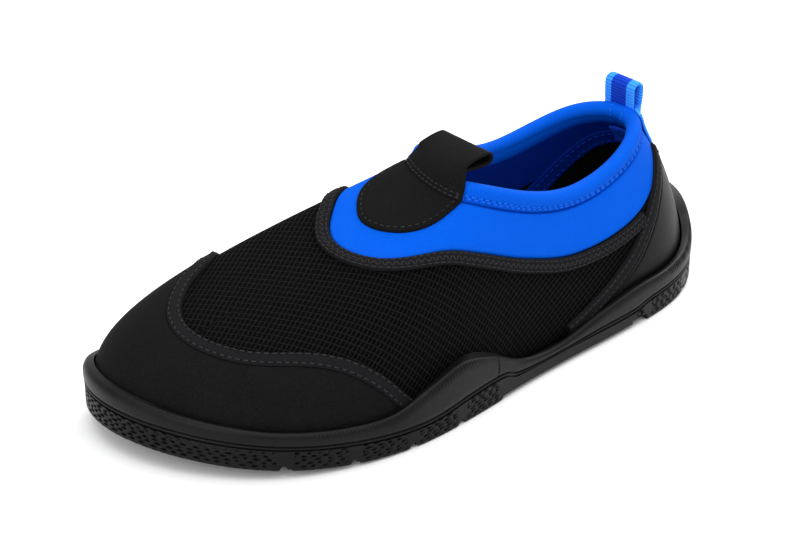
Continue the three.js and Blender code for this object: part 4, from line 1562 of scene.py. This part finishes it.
@dataclass
class PullLoop:
    """Ribbed webbing: up the outside of the heel, round in a loop, and down the inside."""

    width: float = 17.0
    centre_y: float = -3.0
    span: float = 0.034
    thick: float = 1.4
    rib: float = 1.3
    middle_x: float = -113.0
    radius: float = 2.65
    top: float = 87.1

    def sheet(self) -> Array:
        """Middle surface of the webbing: rows along it, columns across."""
        t = np.linspace(-1, 1, 23)
        outer = [(17, 0.95), (14, 1.1), (11, 1.3), (8, 1.65), (6, 2.1), (4.4, 2.6), (3, 3.1), (1.8, 3.5), (0.6, 3.8)]
        tail = LAST.from_top(self.span * t[None, :], np.array(outer)[:, :1], np.array(outer)[:, 1:])
        rise = np.array([(-115.0, 76.5), (-115.3, 79.0), (-115.55, 81.6)])
        arc = np.radians(np.linspace(180, 0, 13))
        turn = np.stack([self.middle_x + self.radius * np.cos(arc), self.top - self.radius * (1 - np.sin(arc))], 1)
        fall = np.array([(-110.4, 82.0), (-110.5, 79.5), (-110.6, 77.4), (-110.9, 75.4)])
        way = np.concatenate([rise, turn, fall])
        loop = np.zeros((len(way), len(t), 3))
        loop[..., 0] = way[:, :1]
        loop[..., 1] = self.centre_y + self.width / 2 * t
        loop[..., 2] = way[:, 1:]
        return np.concatenate([tail, loop])

    def inner_tail(self, finishes: Finishes) -> None:
        """Makes the end that is box-stitched inside the heel."""
        t = np.linspace(-1, 1, 19)
        below = np.linspace(7.2, 18.0, 48)
        lie = -5.2 - 0.5 * np.exp(-(((below - 17) / 1.5) ** 2))
        sheet = LAST.from_top(self.span * 0.9 * t[None, :], below[:, None], lie[:, None])
        ribs = 0.12 * np.cos(2 * np.pi * below / self.rib)[:, None]
        piece = strip_shell(sheet, self.thick * 0.8, "inner_tail_webbing", False, ribs)
        fit_out(piece, finishes.inner_webbing_painted_shade, stands_for=("heel_loop_inner_tail",))
        box = Stitches(1.8, 0.7, 0.26)
        corners = np.array([(-0.7, 8.6), (0.7, 8.6), (0.7, 15.4), (-0.7, 15.4), (-0.7, 8.6), (0.7, 15.4)])
        for (t0, d0), (t1, d1) in zip(corners[:-1], corners[1:]):
            u = self.span * 0.9 * np.linspace(t0, t1, 30)
            points = LAST.from_top(u, np.linspace(d0, d1, 30), -5.85)
            box.row(points, -LAST.frame_at(u, LAST.up(u, 1.0, -12.0))[3], wander=0.05)
        fit_out(box.build("inner_tail_stitches"), finishes.inner_thread_painted_shade)

    def build(self, finishes: Finishes) -> None:
        """Makes the webbing and sews its tail."""
        rows = self.sheet()
        walk = np.concatenate([[0], np.cumsum(np.linalg.norm(np.diff(rows[:, 11], axis=0), axis=1))])
        even = np.linspace(0, walk[-1], int(walk[-1] / 0.25))
        i = np.clip(np.searchsorted(walk, even, side="right") - 1, 0, len(walk) - 2)
        t = ((even - walk[i]) / (walk[i + 1] - walk[i]))[:, None, None]
        before, after = rows[np.maximum(i - 1, 0)], rows[np.minimum(i + 2, len(rows) - 1)]
        start, stop = rows[i], rows[i + 1]
        slope_a, slope_b = (stop - before) / 2, (after - start) / 2
        sheet = start * (1 + 2 * t) * (1 - t) ** 2 + stop * (3 - 2 * t) * t**2
        sheet = sheet + slope_a * t * (1 - t) ** 2 - slope_b * t**2 * (1 - t)
        for _ in range(6):
            sheet[1:-1] = (sheet[:-2] + 2 * sheet[1:-1] + sheet[2:]) / 4
        ribs = 0.13 * np.cos(2 * np.pi * even / self.rib)[:, None]
        strip = strip_shell(sheet, self.thick, "pull_loop_webbing", False, ribs)
        nodes = ("heel_loop", "heel_loop_outer_tail")
        fit_out(strip, finishes.webbing, None, nodes)
        self.inner_tail(finishes)
        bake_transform(strip)


@dataclass
class Linings:
    """What shows inside: blue collar lining, black heel and vamp linings, and the tape between."""

    heel_span: tuple[float, float] = (-0.25, 0.25)
    outer: float = -3.3
    inner: float = -4.3

    def build(self, finishes: Finishes) -> None:
        """Makes the linings and the rows of stitches on their tape."""
        heel = Panel(lambda u: 0 * u, heel_lining_edge, self.inner, self.outer, self.heel_span, 300, 20)
        fit_out(heel.build("heel_lining_cloth"), finishes.lining, stands_for=("heel_lining",))
        vamp = Panel(
            above_inner_tape, lambda u: LAST.up(u, COLLAR_EDGE(u), -SEAM_GAP), self.inner, self.outer, (0.15, 0.85), 300, 20
        )
        fit_out(vamp.build("vamp_lining_cloth"), finishes.lining, stands_for=("vamp_lining",))
        collar = Panel(
            lambda u: np.maximum(COLLAR_EDGE(u), above_inner_tape(u)), rim_edge, self.inner, self.outer, None, 500, 20
        )
        fit_out(collar.build("collar_lining_cloth"), finishes.inner_jersey_painted_shade, stands_for=("collar_lining",))
        u = np.linspace(-0.215, 0.215, 420)
        b = heel_lining_edge(u)
        strip = Ribbon(u, b, INNER_TAPE_WIDTH + 0.4, self.inner - 0.7, self.outer, start=-0.1)
        fit_out(strip.build("lining_tape"), finishes.inner_jersey_painted_shade, stands_for=("lining_binding",))
        rows = Stitches(2.0, 1.0, 0.28)
        for at in (1.6, 6.6):
            points, normals = strip.line(at, self.inner - 0.75)
            rows.row(points, -normals, wander=0.05)
        fit_out(rows.build("lining_tape_stitches"), finishes.inner_thread_painted_shade)


def dress_frame_nodes(finishes: Finishes) -> None:
    """Gives the nodes that stay in view their materials."""
    wanted = {
        "insole": finishes.foam,
        "lasting_board": finishes.board,
        "toe_puff": finishes.board,
        "heel_counter": finishes.board,
    }
    for name, finish in wanted.items():
        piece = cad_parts[name]
        for place in piece.material_slots:
            place.material = finish


# ---------------------------------------------------------------- studio


@dataclass
class Studio:
    """Pale floor, soft lights, and the camera."""

    azimuth: float = 141.0
    elevation: float = 27.3
    distance: float = 0.8256
    aim: tuple[float, float, float] = (0.00733, -0.01268, 0.035)
    lens: float = 92.63

    def floor(self) -> None:
        """Makes the floor with a faintly uneven white finish."""
        graph = Graph("pale_floor")
        cloud = graph.noise(300, 2)
        colour = graph.mix(cloud.ramp(0.3, 0.7), rgb("f6f6f7"), rgb("fbfbfc"))
        finish = graph.finish(colour, 0.9, cloud * 0.01, 0.1)
        half = 3000.0
        maker = MeshMaker()
        corner = np.array([[[-half, -half, 0], [half, -half, 0]], [[-half, half, 0], [half, half, 0]]])
        maker.grid(corner[::-1])
        ground = maker.build("floor", in_frame=True)
        ground.data.materials.append(finish)

    def light(self, name: str, place: Sequence[float], size: float, power: float) -> None:
        """Adds a square soft light aimed at the object."""
        lamp = bpy.data.lights.new(name, "AREA")
        lamp.size, lamp.energy = size, power
        made = bpy.data.objects.new(name, lamp)
        made.location = place
        made.rotation_euler = (Vector((0, 0, 0.03)) - Vector(place)).to_track_quat("-Z", "Y").to_euler()
        bpy.context.scene.collection.objects.link(made)

    def build(self) -> None:
        """Makes the floor, lights, sky and camera."""
        self.floor()
        self.light("overhead", (0.1, 0.3, 1.5), 1.6, 16)
        self.light("behind", (-1.2, -0.5, 0.9), 1.0, 12)
        self.light("front_side", (1.4, 0.6, 0.8), 1.0, 8)
        sky = bpy.data.worlds.new("soft_sky")
        sky.use_nodes = True
        sky.node_tree.nodes["Background"].inputs[0].default_value = (1, 1, 1, 1)
        sky.node_tree.nodes["Background"].inputs[1].default_value = 0.85
        scene = bpy.context.scene
        scene.world = sky
        scene.view_settings.view_transform = "Standard"
        azimuth, elevation = math.radians(self.azimuth), math.radians(self.elevation)
        back = Vector(
            (math.sin(azimuth) * math.cos(elevation), -math.cos(azimuth) * math.cos(elevation), math.sin(elevation))
        )
        camera = bpy.data.objects.new("camera", bpy.data.cameras.new("camera"))
        camera.data.lens, camera.data.sensor_width = self.lens, 36.0
        camera.location = Vector(self.aim) + back * self.distance
        camera.rotation_euler = (-back).to_track_quat("-Z", "Y").to_euler()
        scene.collection.objects.link(camera)
        scene.camera = camera


def main() -> None:
    """Builds the studio and each sub-assembly in order."""
    logging.basicConfig(level=logging.INFO, format="%(name)s %(message)s")
    Studio().build()
    finishes = Finishes()
    dress_frame_nodes(finishes)
    assemblies = (Sole(), ToeCap(), HeelCounter(), Vamp(), Collar(), TonguePatch(), PullLoop(), Linings())
    for assembly in assemblies:
        assembly.build(finishes)
        LOG.info("built %s", type(assembly).__name__)


if __name__ == "__main__":
    main()
